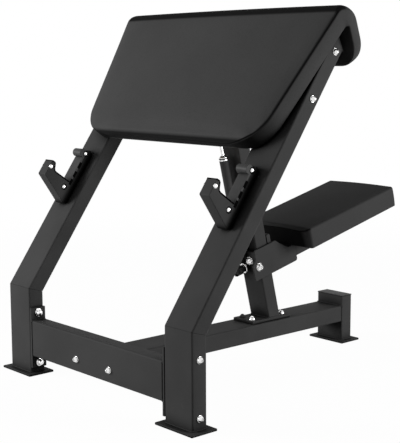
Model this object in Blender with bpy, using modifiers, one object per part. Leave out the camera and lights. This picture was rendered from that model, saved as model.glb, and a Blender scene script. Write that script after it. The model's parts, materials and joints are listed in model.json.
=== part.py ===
"""Preacher curl bench: a sloping arm pad on a two-post frame, with a sliding seat on a leaning column.

Metres, +Z up. The lifter sits at +Y and faces -Y. The origin is on the floor, under the middle of the bench.
"""

from math import asin, atan2, cos, hypot, pi, radians, sin, sqrt, tan

import bmesh
import bpy
from mathutils import Matrix, Vector

# Fits
GAP = 0.0003
HOLE_CLEARANCE = 0.0005
SLIDE_CLEARANCE = 0.0005
PIN_CLEARANCE = 0.0002

# Steel tube and plate
TUBE_WALL = 0.003
TUBE_CORNER = 0.005
FLANGE_THICKNESS = 0.008
CAP_THICKNESS = 0.003
PLATE_EDGE = 0.001
FOOT_EDGE = 0.0012
CAP_EDGE = 0.0008

# Uprights: vertical below the bend, sloping back above it
HALF_WIDTH = 0.386
UPRIGHT_WIDTH = 0.100
UPRIGHT_DEPTH = 0.045
BEND_HEIGHT = 0.2409
SLOPE = radians(35.2)
UPRIGHT_LENGTH = 0.8296
UPRIGHT_TOP_CUT = radians(30.0)

# Foot plates
FOOT_MARGIN = 0.017
FOOT_THICKNESS = 0.006

# Cross beams between the uprights, and their end flanges
BEAM_HEIGHT = 0.100
BEAM_DEPTH = 0.045
FRONT_BEAM_Z = 0.1035
FLANGE_HEIGHT = 0.168
FLANGE_BOLT_OFFSET = 0.0695
UPPER_BEAM_BELOW_TOP = 0.1114

# Spine along the floor, and the post under its rear end
SPINE_WIDTH = 0.100
SPINE_HEIGHT = 0.049
SPINE_TOP_Z = 0.112
SPINE_BEHIND_COLUMN = 0.2990
JOINT_PLATE_HALF_WIDTH = 0.090
JOINT_PLATE_HEIGHT = 0.070
JOINT_BOLT_X = 0.070
REAR_POST_WIDTH = 0.100
REAR_POST_DEPTH = 0.0445
REAR_POST_TOP_Z = 0.1434

# Column: leans forward from the spine to the upper beam, which sets its place
COLUMN_WIDTH = 0.0766
COLUMN_DEPTH = 0.0444
LEAN = radians(13.9)
BASE_PLATE_HALF_WIDTH = 0.040
BASE_PLATE_AHEAD = 0.0686
BASE_PLATE_BEHIND = 0.0834
BASE_BOLT_X = 0.020
BASE_BOLT_EDGE = 0.017

# Bolts
BOLT_RADIUS = 0.0055
BOLT_HEAD_RADIUS = 0.0090
BOLT_HEAD_HEIGHT = 0.0065
CARRIAGE_BOLT_HEAD_RADIUS = 0.0113
NUT_HEIGHT = 0.009
BOLT_SIDES = 12

# Arm pad, measured up the slope and out from the uprights' front faces. Its top follows the uprights' top.
PAD_BOTTOM = 0.478
PAD_FRONT = 0.056
PAD_BACK = 0.005
PAD_HOLLOW_RISE = 0.0202
PAD_TOP_THICKNESS = 0.046
PAD_TOP_DEPTH = 0.0506
PAD_BOTTOM_HALF_WIDTH = 0.350
PAD_FLARE = 0.177
PAD_PLAN_CORNER = 0.075
PAD_EDGE = 0.008
PAD_END_EDGE = 0.014
PAD_CROWN = 0.003
PAD_INNER_EDGE = 0.004
PAD_FRONT_CORNER = 0.034
PAD_REAR_CORNER = 0.060
PAD_DROP_ANGLE = radians(25.5)
PAD_DROP_HEIGHT = 0.138
PAD_DROP_PLAN_CORNER = 0.066
PAD_DROP_END_EDGE = 0.014
PAD_HOLLOW_RADIUS = 0.006
PAD_SIDE_BULGE = 0.001
PAD_BOARD_THICKNESS = 0.012
PAD_BOARD_HALF_WIDTH = 0.305
PAD_BOARD_LOW_MARGIN = 0.042
PAD_BOARD_HIGH_MARGIN = 0.0296

# Bar holders, measured up the slope and out from the uprights' front faces
HOLDER_WIDTH = 0.035
HOLDER_BOTTOM = 0.2585
HOLDER_TOP = 0.430
HOLDER_FRONT = 0.108
HOLDER_SLOT_FLOOR = 0.320
HOLDER_SLOT_FRONT = 0.088
HOLDER_TIP_TOP = 0.341
HOLDER_TIP_BOTTOM = 0.2955
HOLDER_LINER_FRONT = 0.027
HOLDER_LINER_THICKNESS = 0.006
HOLDER_NOSE_S = 0.412
HOLDER_NOSE_OUT = 0.032
HOLDER_NOSE_RADIUS = 0.0115
HOLDER_HEEL = 0.010
HOLDER_HEEL_RISE = 0.008
HOLDER_CROWN_OUT = 0.020
HOLDER_CROWN_CORNER = 0.012
HOLDER_TIP_SLANT = 0.008
HOLDER_CORNER = 0.004
HOLDER_SOFT_CORNER = 0.006
HOLDER_EDGE = 0.0015

# Seat carriage, measured back from the column's front face and up along the column
CHEEK_THICKNESS = 0.005
CHEEK_FRONT = -0.028
CHEEK_BOTTOM = 0.134
CHEEK_TOP = 0.221
CHEEK_REAR = 0.145
CHEEK_RAIL_BACK = 0.118
CHEEK_SHOULDER_BACK = 0.088
CHEEK_SHOULDER_UP = 0.205
CHEEK_TOP_BACK = 0.072
CHEEK_STEP_FRONT = -0.014
CHEEK_STEP_HIGH = 0.192
CHEEK_STEP_LOW = 0.178
CHEEK_CORNER = 0.006
CHEEK_SOFT_CORNER = 0.010
CHEEK_BOLT_BITE = 0.016
FRONT_BLOCK_THICKNESS = 0.0114
FRONT_BLOCK_LOW = 0.150
FRONT_BLOCK_HIGH = 0.214
REAR_PLATE_THICKNESS = 0.014
REAR_PLATE_LOW = 0.144
REAR_PLATE_HIGH = 0.246
RAIL_DEPTH = 0.040
RAIL_TOP = 0.184
RAIL_REAR = 0.440
CHEEK_BOLT_V = 0.170
BLOCK_BOLT_X = 0.0165
BLOCK_BOLT_V = 0.187

# Seat
SEAT_HALF_WIDTH = 0.129
SEAT_FRONT = 0.127
SEAT_LENGTH = 0.388
SEAT_THICKNESS = 0.063
SEAT_CORNER = 0.012
SEAT_EDGE = 0.008
SEAT_LOW_EDGE = 0.003
SEAT_CROWN = 0.003
SEAT_SIDE_BULGE = 0.001
SEAT_BOARD_THICKNESS = 0.012
SEAT_BOARD_MARGIN = 0.014

# Pull pin and the ladder of seats that it locks into
PIN_V = 0.168
PIN_RADIUS = 0.006
PIN_TIP = 0.008
PIN_COLLAR_RADIUS = 0.0115
PIN_COLLAR_LENGTH = 0.010
PIN_RING_RADIUS = 0.0128
PIN_RING_LENGTH = 0.003
PIN_KNOB_RADIUS = 0.0115
PIN_KNOB_LENGTH = 0.024
LOCK_STEP = 0.025
LOCK_STEPS = 5
LOCK_SEAT_RADIUS = 0.008

# Gas strut in front of the column
STRUT_OUT = 0.0265
STRUT_RADIUS = 0.0125
STRUT_ROD_RADIUS = 0.0045
STRUT_EYE_RADIUS = 0.009
STRUT_STUD_RADIUS = 0.004
STRUT_LOWER_V = 0.204
STRUT_BELOW_BEAM = 0.0607
STRUT_TOP_CLEARANCE = 0.028
STRUT_BODY_WALL = 0.006
STRUT_INSERTION = 0.026

# Worked out from the values above
INNER_X = HALF_WIDTH - UPRIGHT_WIDTH
UPRIGHT_X = HALF_WIDTH - UPRIGHT_WIDTH / 2
COLUMN_MEET = SLOPE + LEAN
CHEEK_INNER_X = COLUMN_WIDTH / 2 + SLIDE_CLEARANCE
CHEEK_OUTER_X = CHEEK_INNER_X + CHEEK_THICKNESS
RAIL_WIDTH = 2 * (CHEEK_INNER_X - GAP)
SEAT_TRAVEL = LOCK_STEP * LOCK_STEPS
PAD_HOLLOW_TOP_Z = BEND_HEIGHT + UPRIGHT_LENGTH * cos(SLOPE) + PAD_HOLLOW_RISE
PAD_TOP_Z = PAD_HOLLOW_TOP_Z + PAD_TOP_THICKNESS
PAD_DROP_BOTTOM_Z = PAD_TOP_Z - PAD_DROP_HEIGHT
PAD_BOARD_LOW = PAD_BOTTOM + PAD_BOARD_LOW_MARGIN
PAD_BOARD_HIGH = UPRIGHT_LENGTH - PAD_BOARD_HIGH_MARGIN
UPPER_BEAM_S = UPRIGHT_LENGTH - UPPER_BEAM_BELOW_TOP
UPPER_BEAM_BACK_Y = UPRIGHT_DEPTH * cos(SLOPE) + UPPER_BEAM_S * sin(SLOPE)
UPPER_BEAM_BACK_Z = BEND_HEIGHT - UPRIGHT_DEPTH * sin(SLOPE) + UPPER_BEAM_S * cos(SLOPE)
COLUMN_RISE = UPPER_BEAM_BACK_Z - SPINE_TOP_Z
COLUMN_FRONT_Y = UPPER_BEAM_BACK_Y + COLUMN_RISE * tan(LEAN) - COLUMN_DEPTH / 2 / cos(LEAN)
BASE_PLATE_FRONT_Y = COLUMN_FRONT_Y - BASE_PLATE_AHEAD
BASE_PLATE_REAR_Y = COLUMN_FRONT_Y + BASE_PLATE_BEHIND
SPINE_REAR_Y = COLUMN_FRONT_Y + SPINE_BEHIND_COLUMN
STRUT_UPPER_V = COLUMN_RISE / cos(LEAN) - STRUT_BELOW_BEAM
STRUT_BODY_TOP = STRUT_UPPER_V - SEAT_TRAVEL - STRUT_TOP_CLEARANCE

PARTS = None
CUTTERS = None


def clear_scene():
    """Empty the scene and make the two collections."""
    for obj in list(bpy.data.objects):
        bpy.data.objects.remove(obj, do_unlink=True)
    global PARTS, CUTTERS
    PARTS = bpy.data.collections.new("preacher_curl_bench")
    CUTTERS = bpy.data.collections.new("cutters")
    bpy.context.scene.collection.children.link(PARTS)
    bpy.context.scene.collection.children.link(CUTTERS)


def finish(name, colour, roughness, metallic):
    """A plain Principled material."""
    material = bpy.data.materials.new(name)
    material.use_nodes = True
    shader = material.node_tree.nodes["Principled BSDF"]
    shader.inputs["Base Color"].default_value = (*colour, 1.0)
    shader.inputs["Roughness"].default_value = roughness
    shader.inputs["Metallic"].default_value = metallic
    material.diffuse_color = (*colour, 1.0)
    return material


def black_paint():
    return finish("black_powder_coat", (0.055, 0.055, 0.057), 0.42, 0.0)


def black_vinyl():
    return finish("black_vinyl", (0.045, 0.045, 0.047), 0.48, 0.0)


def black_plastic():
    return finish("black_plastic", (0.030, 0.030, 0.032), 0.40, 0.0)


def grey_plastic():
    return finish("grey_plastic", (0.10, 0.10, 0.105), 0.45, 0.0)


def chrome():
    return finish("chrome", (0.78, 0.78, 0.80), 0.15, 1.0)


def plywood():
    return finish("plywood", (0.35, 0.24, 0.14), 0.70, 0.0)


def empty(name, parent, location=(0, 0, 0), rotation=(0, 0, 0)):
    """A frame that pieces are measured in."""
    obj = bpy.data.objects.new(name, None)
    PARTS.objects.link(obj)
    obj.parent = parent
    obj.location = location
    obj.rotation_euler = rotation
    return obj


def add(name, mesh, parent, location, rotation, material):
    """Link a mesh as one named piece, or as a cutter where it has no material."""
    obj = bpy.data.objects.new(name, mesh)
    obj.parent = parent
    obj.location = location
    obj.rotation_euler = rotation
    if material is None:
        CUTTERS.objects.link(obj)
        obj.hide_render = True
        obj.display_type = "WIRE"
    else:
        PARTS.objects.link(obj)
        mesh.materials.append(material)
    return obj


def to_mesh(name, bm):
    mesh = bpy.data.meshes.new(name)
    bm.to_mesh(mesh)
    bm.free()
    return mesh


def box(name, size, centre, parent, material, rotation=(0, 0, 0), edge=0.0):
    """A block of the given size about its centre, with its edges eased."""
    bm = bmesh.new()
    bmesh.ops.create_cube(bm, size=1.0)
    bmesh.ops.scale(bm, vec=size, verts=bm.verts)
    obj = add(name, to_mesh(name, bm), parent, centre, rotation, material)
    if edge:
        bevel(obj, edge, 1)
    return obj


def bevel(obj, width, segments):
    modifier = obj.modifiers.new("edges", "BEVEL")
    modifier.width = width
    modifier.segments = segments
    modifier.limit_method = "ANGLE"
    modifier.angle_limit = radians(40)


def tube(name, width, depth, length, parent, location, rotation, material):
    """Box section tube, open at both ends, running up its own Z from its location."""
    bm = bmesh.new()
    bmesh.ops.create_cube(bm, size=1.0, matrix=Matrix.Translation((0, 0, 0.5)))
    bmesh.ops.scale(bm, vec=(width, depth, length), verts=bm.verts)
    ends = [face for face in bm.faces if abs(face.normal.z) > 0.5]
    bmesh.ops.delete(bm, geom=ends, context="FACES_ONLY")
    obj = add(name, to_mesh(name, bm), parent, location, rotation, material)
    bevel(obj, TUBE_CORNER, 2)
    wall = obj.modifiers.new("wall", "SOLIDIFY")
    wall.thickness = TUBE_WALL
    wall.offset = -1.0
    wall.use_even_offset = True
    return obj


def turned(name, profile, parent, location, rotation, material, steps=BOLT_SIDES, closed=False):
    """A profile of (radius, height) points turned about its own Z."""
    bm = bmesh.new()
    verts = [bm.verts.new((radius, 0, height)) for radius, height in profile]
    for first, second in zip(verts, verts[1:]):
        bm.edges.new((first, second))
    if closed:
        bm.edges.new((verts[-1], verts[0]))
    obj = add(name, to_mesh(name, bm), parent, location, rotation, material)
    screw = obj.modifiers.new("turn", "SCREW")
    screw.angle = 2 * pi
    screw.steps = steps
    screw.render_steps = steps
    screw.use_merge_vertices = True
    screw.merge_threshold = 0.00001
    screw.use_smooth_shade = False
    return obj


def rod(name, radius, length, parent, location, rotation, material, sides=BOLT_SIDES):
    """A plain cylinder about its own centre."""
    bm = bmesh.new()
    bmesh.ops.create_cone(bm, cap_ends=True, segments=sides, radius1=radius, radius2=radius, depth=length)
    return add(name, to_mesh(name, bm), parent, location, rotation, material)


def arc(centre, radius, start, stop, steps):
    """Points along a circular arc, ends included."""
    points = []
    for step in range(steps + 1):
        angle = start + (stop - start) * step / steps
        points.append((centre[0] + radius * cos(angle), centre[1] + radius * sin(angle)))
    return points


def fillet(before, corner, after, radius, steps=3):
    """The arc that rounds one corner of an outline."""
    corner = Vector(corner)
    back = (Vector(before) - corner).normalized()
    ahead = (Vector(after) - corner).normalized()
    half = back.angle(ahead) / 2
    centre = corner + (back + ahead).normalized() * radius / sin(half)
    first = corner + back * radius / tan(half) - centre
    last = corner + ahead * radius / tan(half) - centre
    start = atan2(first.y, first.x)
    turn = first.angle_signed(last)
    return arc(centre, radius, start, start - turn, steps)


def rounded(corners, steps=3):
    """An outline of (y, z, radius) corners with each corner rounded."""
    points = []
    count = len(corners)
    for index, (y, z, radius) in enumerate(corners):
        before = corners[index - 1][:2]
        after = corners[(index + 1) % count][:2]
        if radius:
            points += fillet(before, (y, z), after, radius, steps)
        else:
            points.append((y, z))
    return points


SIDEWAYS = (pi / 2, 0, pi / 2)


def side_plate(name, outline, thickness, x, parent, material, edge=0.0):
    """A flat outline of (y, z) points, given its thickness across the bench."""
    curve = bpy.data.curves.new(name, "CURVE")
    curve.dimensions = "2D"
    curve.fill_mode = "BOTH"
    curve.extrude = thickness / 2
    spline = curve.splines.new("POLY")
    spline.points.add(len(outline) - 1)
    for point, (y, z) in zip(spline.points, outline):
        point.co = (y, z, 0, 1)
    spline.use_cyclic_u = True
    drawn = bpy.data.objects.new(name, curve)
    bpy.context.scene.collection.objects.link(drawn)
    depsgraph = bpy.context.evaluated_depsgraph_get()
    mesh = bpy.data.meshes.new_from_object(drawn.evaluated_get(depsgraph))
    bpy.data.objects.remove(drawn, do_unlink=True)
    bm = bmesh.new()
    bm.from_mesh(mesh)
    bmesh.ops.remove_doubles(bm, verts=bm.verts, dist=0.00001)
    bmesh.ops.dissolve_limit(bm, angle_limit=radians(1), verts=bm.verts, edges=bm.edges)
    if edge:
        bm.normal_update()
        rims = [line for line in bm.edges if sum(abs(face.normal.z) > 0.9 for face in line.link_faces) == 1]
        bmesh.ops.bevel(bm, geom=rims, offset=edge, segments=2, profile=0.5, affect="EDGES")
    bm.to_mesh(mesh)
    bm.free()
    mesh.materials.clear()
    return add(name, mesh, parent, (x, 0, 0), SIDEWAYS, material)


def boolean(obj, other, operation):
    modifier = obj.modifiers.new(other.name, "BOOLEAN")
    modifier.operation = operation
    modifier.object = other
    modifier.solver = "EXACT"


def cut(obj, *cutters):
    for cutter in cutters:
        boolean(obj, cutter, "DIFFERENCE")


SAW_SIZE = 0.25


def saw(name, parent, location, angle, side):
    """A block whose flat base is a saw cut; side +1 takes what is above it, -1 what is below."""
    bm = bmesh.new()
    bmesh.ops.create_cube(bm, size=SAW_SIZE, matrix=Matrix.Translation((0, 0, side * SAW_SIZE / 2)))
    return add(name, to_mesh(name, bm), parent, location, (angle, 0, 0), None)


ALONG_X = (0, pi / 2, 0)
ALONG_Y = (-pi / 2, 0, 0)


def drill(name, parent, location, rotation, length, radius=BOLT_RADIUS + HOLE_CLEARANCE):
    return rod(name, radius, length, parent, location, rotation, None)


def bolt(name, grip, parent, location, rotation, nut=True, head_radius=BOLT_HEAD_RADIUS):
    """A domed bolt with its head above its location, and a nut below what it grips."""
    head = [
        (0, GAP + BOLT_HEAD_HEIGHT),
        (head_radius * 0.62, GAP + BOLT_HEAD_HEIGHT),
        (head_radius, GAP + BOLT_HEAD_HEIGHT * 0.45),
        (head_radius, GAP),
        (BOLT_RADIUS, GAP),
    ]
    if nut:
        low = -grip - GAP
        tail = [
            (BOLT_RADIUS, low),
            (BOLT_HEAD_RADIUS, low),
            (BOLT_HEAD_RADIUS, low - NUT_HEIGHT),
            (0, low - NUT_HEIGHT),
        ]
    else:
        tail = [(BOLT_RADIUS, -grip), (0, -grip)]
    return turned(name, head + tail, parent, location, rotation, chrome_material)


def foot(name, width, depth, x, y, parent):
    """The plate welded under a leg."""
    size = (width + 2 * FOOT_MARGIN, depth + 2 * FOOT_MARGIN, FOOT_THICKNESS)
    centre = (x, y + depth / 2, FOOT_THICKNESS / 2)
    return box(name, size, centre, parent, paint, edge=FOOT_EDGE)


def upright(side, name, bench, slope):
    """One bent upright, mitred from two tubes, with its foot and its top cap."""
    x = side * UPRIGHT_X
    base = FOOT_THICKNESS + GAP
    lower = tube(f"upright_lower_{name}", UPRIGHT_WIDTH, UPRIGHT_DEPTH, BEND_HEIGHT - base + SAW_SIZE / 4,
                 bench, (x, UPRIGHT_DEPTH / 2, base), (0, 0, 0), paint)
    cut(lower, saw(f"mitre_lower_{name}", bench, (x, 0, BEND_HEIGHT), -SLOPE / 2, 1))
    overlap = UPRIGHT_DEPTH
    upper = tube(f"upright_upper_{name}", UPRIGHT_WIDTH, UPRIGHT_DEPTH, UPRIGHT_LENGTH + 2 * overlap,
                 slope, (x, UPRIGHT_DEPTH / 2, -overlap), (0, 0, 0), paint)
    lift = GAP / cos(SLOPE / 2)
    cut(upper, saw(f"mitre_upper_{name}", slope, (x, 0, lift), SLOPE / 2, -1))
    cut(upper, saw(f"top_cut_{name}", slope, (x, 0, UPRIGHT_LENGTH), -UPRIGHT_TOP_CUT, 1))
    foot(f"foot_plate_{name}", UPRIGHT_WIDTH, UPRIGHT_DEPTH, x, 0, bench)
    cap_depth = UPRIGHT_DEPTH / cos(UPRIGHT_TOP_CUT)
    reach = GAP + CAP_THICKNESS / 2
    cap_y = UPRIGHT_DEPTH / 2 + reach * sin(UPRIGHT_TOP_CUT)
    cap_s = UPRIGHT_LENGTH - UPRIGHT_DEPTH / 2 * tan(UPRIGHT_TOP_CUT) + reach * cos(UPRIGHT_TOP_CUT)
    box(f"upright_cap_{name}", (UPRIGHT_WIDTH, cap_depth, CAP_THICKNESS), (x, cap_y, cap_s), slope,
        plastic, (-UPRIGHT_TOP_CUT, 0, 0), CAP_EDGE)
    return lower, upper


def cross_beam(name, parent, y, z, uprights):
    """A beam between the uprights, with a bolted flange at each end. uprights holds left, then right."""
    half = INNER_X - FLANGE_THICKNESS - 2 * GAP
    beam = tube(name, BEAM_HEIGHT, BEAM_DEPTH, 2 * half, parent, (-half, y, z), ALONG_X, paint)
    grip = UPRIGHT_WIDTH + GAP + FLANGE_THICKNESS
    for side, label, post in zip((-1, 1), ("left", "right"), uprights):
        centre = side * (INNER_X - GAP - FLANGE_THICKNESS / 2)
        flange = box(f"{name}_flange_{label}", (FLANGE_THICKNESS, BEAM_DEPTH, FLANGE_HEIGHT),
                     (centre, y, z), parent, paint, edge=PLATE_EDGE)
        for end, level in ((-1, "low"), (1, "high")):
            bolt_z = z + end * FLANGE_BOLT_OFFSET
            hole = drill(f"hole_{name}_{label}_{level}", parent, (side * UPRIGHT_X, y, bolt_z), ALONG_X,
                         2 * UPRIGHT_WIDTH)
            cut(flange, hole)
            cut(post, hole)
            bolt(f"{name}_bolt_{label}_{level}", grip, parent, (side * HALF_WIDTH, y, bolt_z),
                 (0, side * pi / 2, 0))
    return beam


def joint_plate(name, parent, y, z, beam, bolted=True):
    """The plate that bolts a member to the back of a cross beam. Returns its rear face."""
    face = y + BEAM_DEPTH / 2 + GAP
    plate = box(name, (2 * JOINT_PLATE_HALF_WIDTH, FLANGE_THICKNESS, JOINT_PLATE_HEIGHT),
                (0, face + FLANGE_THICKNESS / 2, z), parent, paint, edge=PLATE_EDGE)
    grip = BEAM_DEPTH + GAP + FLANGE_THICKNESS
    for side, label in ((-1, "left"), (1, "right")):
        x = side * JOINT_BOLT_X
        hole = drill(f"hole_{name}_{label}", parent, (x, y, z), ALONG_Y, 4 * BEAM_DEPTH)
        cut(plate, hole)
        cut(beam, hole)
        if bolted:
            bolt(f"{name}_bolt_{label}", grip, parent, (x, y - BEAM_DEPTH / 2, z), (pi / 2, 0, 0))
    return face + FLANGE_THICKNESS


def spine_and_post(bench, beam):
    """The spine from the front beam to the rear post, with the post's cap and foot."""
    middle = SPINE_TOP_Z - SPINE_HEIGHT / 2
    start = joint_plate("spine_joint_plate", bench, BEAM_DEPTH / 2, middle, beam) + GAP
    spine = tube("spine", SPINE_WIDTH, SPINE_HEIGHT, SPINE_REAR_Y - start, bench, (0, start, middle),
                 ALONG_Y, paint)
    post_y = SPINE_REAR_Y + GAP
    base = FOOT_THICKNESS + GAP
    top = REAR_POST_TOP_Z - CAP_THICKNESS
    tube("rear_post", REAR_POST_WIDTH, REAR_POST_DEPTH, top - base, bench,
         (0, post_y + REAR_POST_DEPTH / 2, base), (0, 0, 0), paint)
    box("rear_post_cap", (REAR_POST_WIDTH, REAR_POST_DEPTH, CAP_THICKNESS - GAP),
        (0, post_y + REAR_POST_DEPTH / 2, top + GAP + (CAP_THICKNESS - GAP) / 2), bench, plastic,
        edge=CAP_EDGE)
    foot("foot_plate_rear", REAR_POST_WIDTH, REAR_POST_DEPTH, 0, post_y, bench)
    return spine


def column_meets(out):
    """Height along the column where it meets the plane that lies out behind the uprights' front faces."""
    reach = COLUMN_FRONT_Y * cos(SLOPE) + (BEND_HEIGHT - SPINE_TOP_Z) * sin(SLOPE)
    return (reach - out) / sin(COLUMN_MEET)


def column(bench, slope, lean, spine, upper_beam):
    """The column between its base plate on the spine and its joint plate on the upper beam."""
    plate_length = BASE_PLATE_REAR_Y - BASE_PLATE_FRONT_Y
    plate_y = BASE_PLATE_FRONT_Y + plate_length / 2
    plate = box("column_base_plate", (2 * BASE_PLATE_HALF_WIDTH, plate_length, FLANGE_THICKNESS),
                (0, plate_y, SPINE_TOP_Z + GAP + FLANGE_THICKNESS / 2), bench, paint, edge=PLATE_EDGE)
    for end, level in ((-1, "front"), (1, "rear")):
        for side, label in ((-1, "left"), (1, "right")):
            place = (side * BASE_BOLT_X, plate_y + end * (plate_length / 2 - BASE_BOLT_EDGE),
                     SPINE_TOP_Z + GAP + FLANGE_THICKNESS)
            hole = drill(f"hole_base_{level}_{label}", bench, place, (0, 0, 0), 4 * FLANGE_THICKNESS)
            cut(plate, hole)
            cut(spine, hole)
            bolt(f"column_base_bolt_{level}_{label}", FLANGE_THICKNESS + GAP + TUBE_WALL, bench, place,
                 (0, 0, 0))
    joint_plate("column_joint_plate", slope, BEAM_DEPTH / 2, UPPER_BEAM_S, upper_beam, bolted=False)
    top_out = UPRIGHT_DEPTH + FLANGE_THICKNESS + 2 * GAP
    top = column_meets(top_out)
    post = tube("column", COLUMN_WIDTH, COLUMN_DEPTH, top + 2 * COLUMN_DEPTH, lean,
                (0, COLUMN_DEPTH / 2, 0), (0, 0, 0), paint)
    foot_v = (FLANGE_THICKNESS + 2 * GAP) / cos(LEAN)
    cut(post, saw("column_foot_cut", lean, (0, 0, foot_v), -LEAN, -1))
    cut(post, saw("column_top_cut", lean, (0, 0, top), pi / 2 - COLUMN_MEET, 1))
    cut(post, lock_ladder(lean))


def lock_ladder(lean):
    """The slot in the column's front wall that the pull pin rides in, widened to a seat at each step."""
    slot = PIN_RADIUS + HOLE_CLEARANCE
    points = []
    spread = asin(slot / LOCK_SEAT_RADIUS)
    for side in (1, -1):
        steps = range(LOCK_STEPS + 1) if side > 0 else range(LOCK_STEPS, -1, -1)
        for step in steps:
            low = -pi / 2 + (0 if side > 0 and step == 0 else spread)
            high = pi / 2 - (0 if side > 0 and step == LOCK_STEPS else spread)
            if side < 0:
                low = pi / 2 + (0 if step == LOCK_STEPS else spread)
                high = 3 * pi / 2 - (0 if step == 0 else spread)
            points += arc((0, PIN_V + step * LOCK_STEP), LOCK_SEAT_RADIUS, low, high, 4)
    cutter = side_plate("lock_ladder", unique(points), 4 * TUBE_WALL, 0, lean, None)
    cutter.rotation_euler = (pi / 2, 0, 0)
    return cutter


def unique(points):
    """Drop points that repeat the one before."""
    kept = []
    for point in points:
        if not kept or hypot(point[0] - kept[-1][0], point[1] - kept[-1][1]) > 0.0001:
            kept.append(point)
    if hypot(kept[0][0] - kept[-1][0], kept[0][1] - kept[-1][1]) < 0.0001:
        kept.pop()
    return kept


INNER_CORNER_STEPS = 2
OUTER_CORNER_STEPS = 3
LOOP_FACE_POINTS = 5


def padded_loop(inner, outer, half_width, edges, inset, crown, bulge):
    """One cross section of a cushion, from an inner to an outer (y, z) point, pulled in by inset.

    edges holds the radius of the inner edge, then the outer one.
    """
    inner = Vector(inner)
    outer = Vector(outer)
    up = (outer - inner).normalized()
    low = inset
    high = (outer - inner).length - inset
    half = half_width - inset
    section = []
    near, edge = [min(radius, (high - low) * 0.48) for radius in edges]
    section += arc((half - near, low + near), near, -pi / 2, 0, INNER_CORNER_STEPS)
    section.append((half + bulge, (low + near + high - edge) / 2))
    section += arc((half - edge, high - edge), edge, 0, pi / 2, OUTER_CORNER_STEPS)
    flat = half - edge
    for step in range(1, LOOP_FACE_POINTS // 2 + 1):
        x = flat * (1 - step / (LOOP_FACE_POINTS // 2 + 1))
        section.append((x, high + crown * (1 - (x / flat) ** 2)))
    mirrored = [(-x, b) for x, b in reversed(section)]
    section = section + [(0.0, high + crown)] + mirrored
    points = []
    for x, b in section:
        place = inner + up * b
        points.append((x, place.x, place.y))
    return points


def loft(name, loops, parent, material):
    """A closed skin over a row of cross sections, with a face at each end."""
    bm = bmesh.new()
    rings = [[bm.verts.new(point) for point in loop] for loop in loops]
    for near, far in zip(rings, rings[1:]):
        count = len(near)
        for index in range(count):
            after = (index + 1) % count
            bm.faces.new((near[index], near[after], far[after], far[index]))
    bm.faces.new(rings[0])
    bm.faces.new(rings[-1])
    bmesh.ops.recalc_face_normals(bm, faces=bm.faces)
    for face in bm.faces:
        face.smooth = True
    mesh = to_mesh(name, bm)
    mesh.set_sharp_from_angle(angle=radians(50))
    return add(name, mesh, parent, (0, 0, 0), (0, 0, 0), material)


def on_slope(y, z):
    """A side-view point of the bench as (depth, height) in the slope's frame."""
    rise = z - BEND_HEIGHT
    return Vector((y * cos(SLOPE) - rise * sin(SLOPE), y * sin(SLOPE) + rise * cos(SLOPE)))


def corner_loss(distance, radius):
    """How far a round plan corner draws the edge in, at a distance from the end."""
    short = radius - min(max(distance, 0.0), radius)
    return radius - sqrt(radius ** 2 - short ** 2)


def pad_side(s):
    """Half the arm pad's width at a height up the slope, before its corners are rounded."""
    return PAD_BOTTOM_HALF_WIDTH + PAD_FLARE * (s - PAD_BOTTOM)


def drop_direction():
    """The way the drop hangs behind the frame, in the slope's side view."""
    return on_slope(sin(PAD_DROP_ANGLE), BEND_HEIGHT - cos(PAD_DROP_ANGLE)).normalized()


def pad_hollow_centre():
    """The middle of the round top of the hollow under the hook."""
    down_front = Vector((0, -1))
    rise = PAD_HOLLOW_TOP_Z - BEND_HEIGHT
    apex = on_slope((-PAD_BACK + rise * sin(SLOPE)) / cos(SLOPE), PAD_HOLLOW_TOP_Z)
    half = down_front.angle(drop_direction()) / 2
    return apex + (down_front + drop_direction()).normalized() * PAD_HOLLOW_RADIUS / sin(half)


def pad_top_line():
    """The outer side-view line over the top of the pad, and the drop's outer end."""
    flat_y = (-PAD_FRONT + (PAD_TOP_Z - BEND_HEIGHT) * sin(SLOPE)) / cos(SLOPE)
    drop_y = flat_y + PAD_TOP_DEPTH
    end = on_slope(drop_y + PAD_DROP_HEIGHT * tan(PAD_DROP_ANGLE), PAD_DROP_BOTTOM_Z)
    first = on_slope(flat_y, PAD_TOP_Z)
    second = on_slope(drop_y, PAD_TOP_Z)
    below = Vector((-PAD_FRONT, PAD_BOTTOM))
    bend = fillet(below, first, second, PAD_FRONT_CORNER, 3) + fillet(first, second, end, PAD_REAR_CORNER, 6)
    return [Vector(point) for point in bend], end


PAD_CORNER_ROWS = (0.4, 0.8)
PAD_FRONT_ROWS = (0.30, 0.52, 0.75, 1.0)
PAD_DROP_ROWS = (0.62, 0.42, 0.22)


def pad_section(inner, outer, inset, crown, loss):
    """One cross section of the arm pad, with its sides on the flare."""
    inner = Vector(inner)
    outer = Vector(outer)
    half = pad_side((inner.y + outer.y) / 2) - loss
    return padded_loop(inner, outer, half, (PAD_INNER_EDGE, PAD_EDGE), inset, crown, PAD_SIDE_BULGE)


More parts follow.
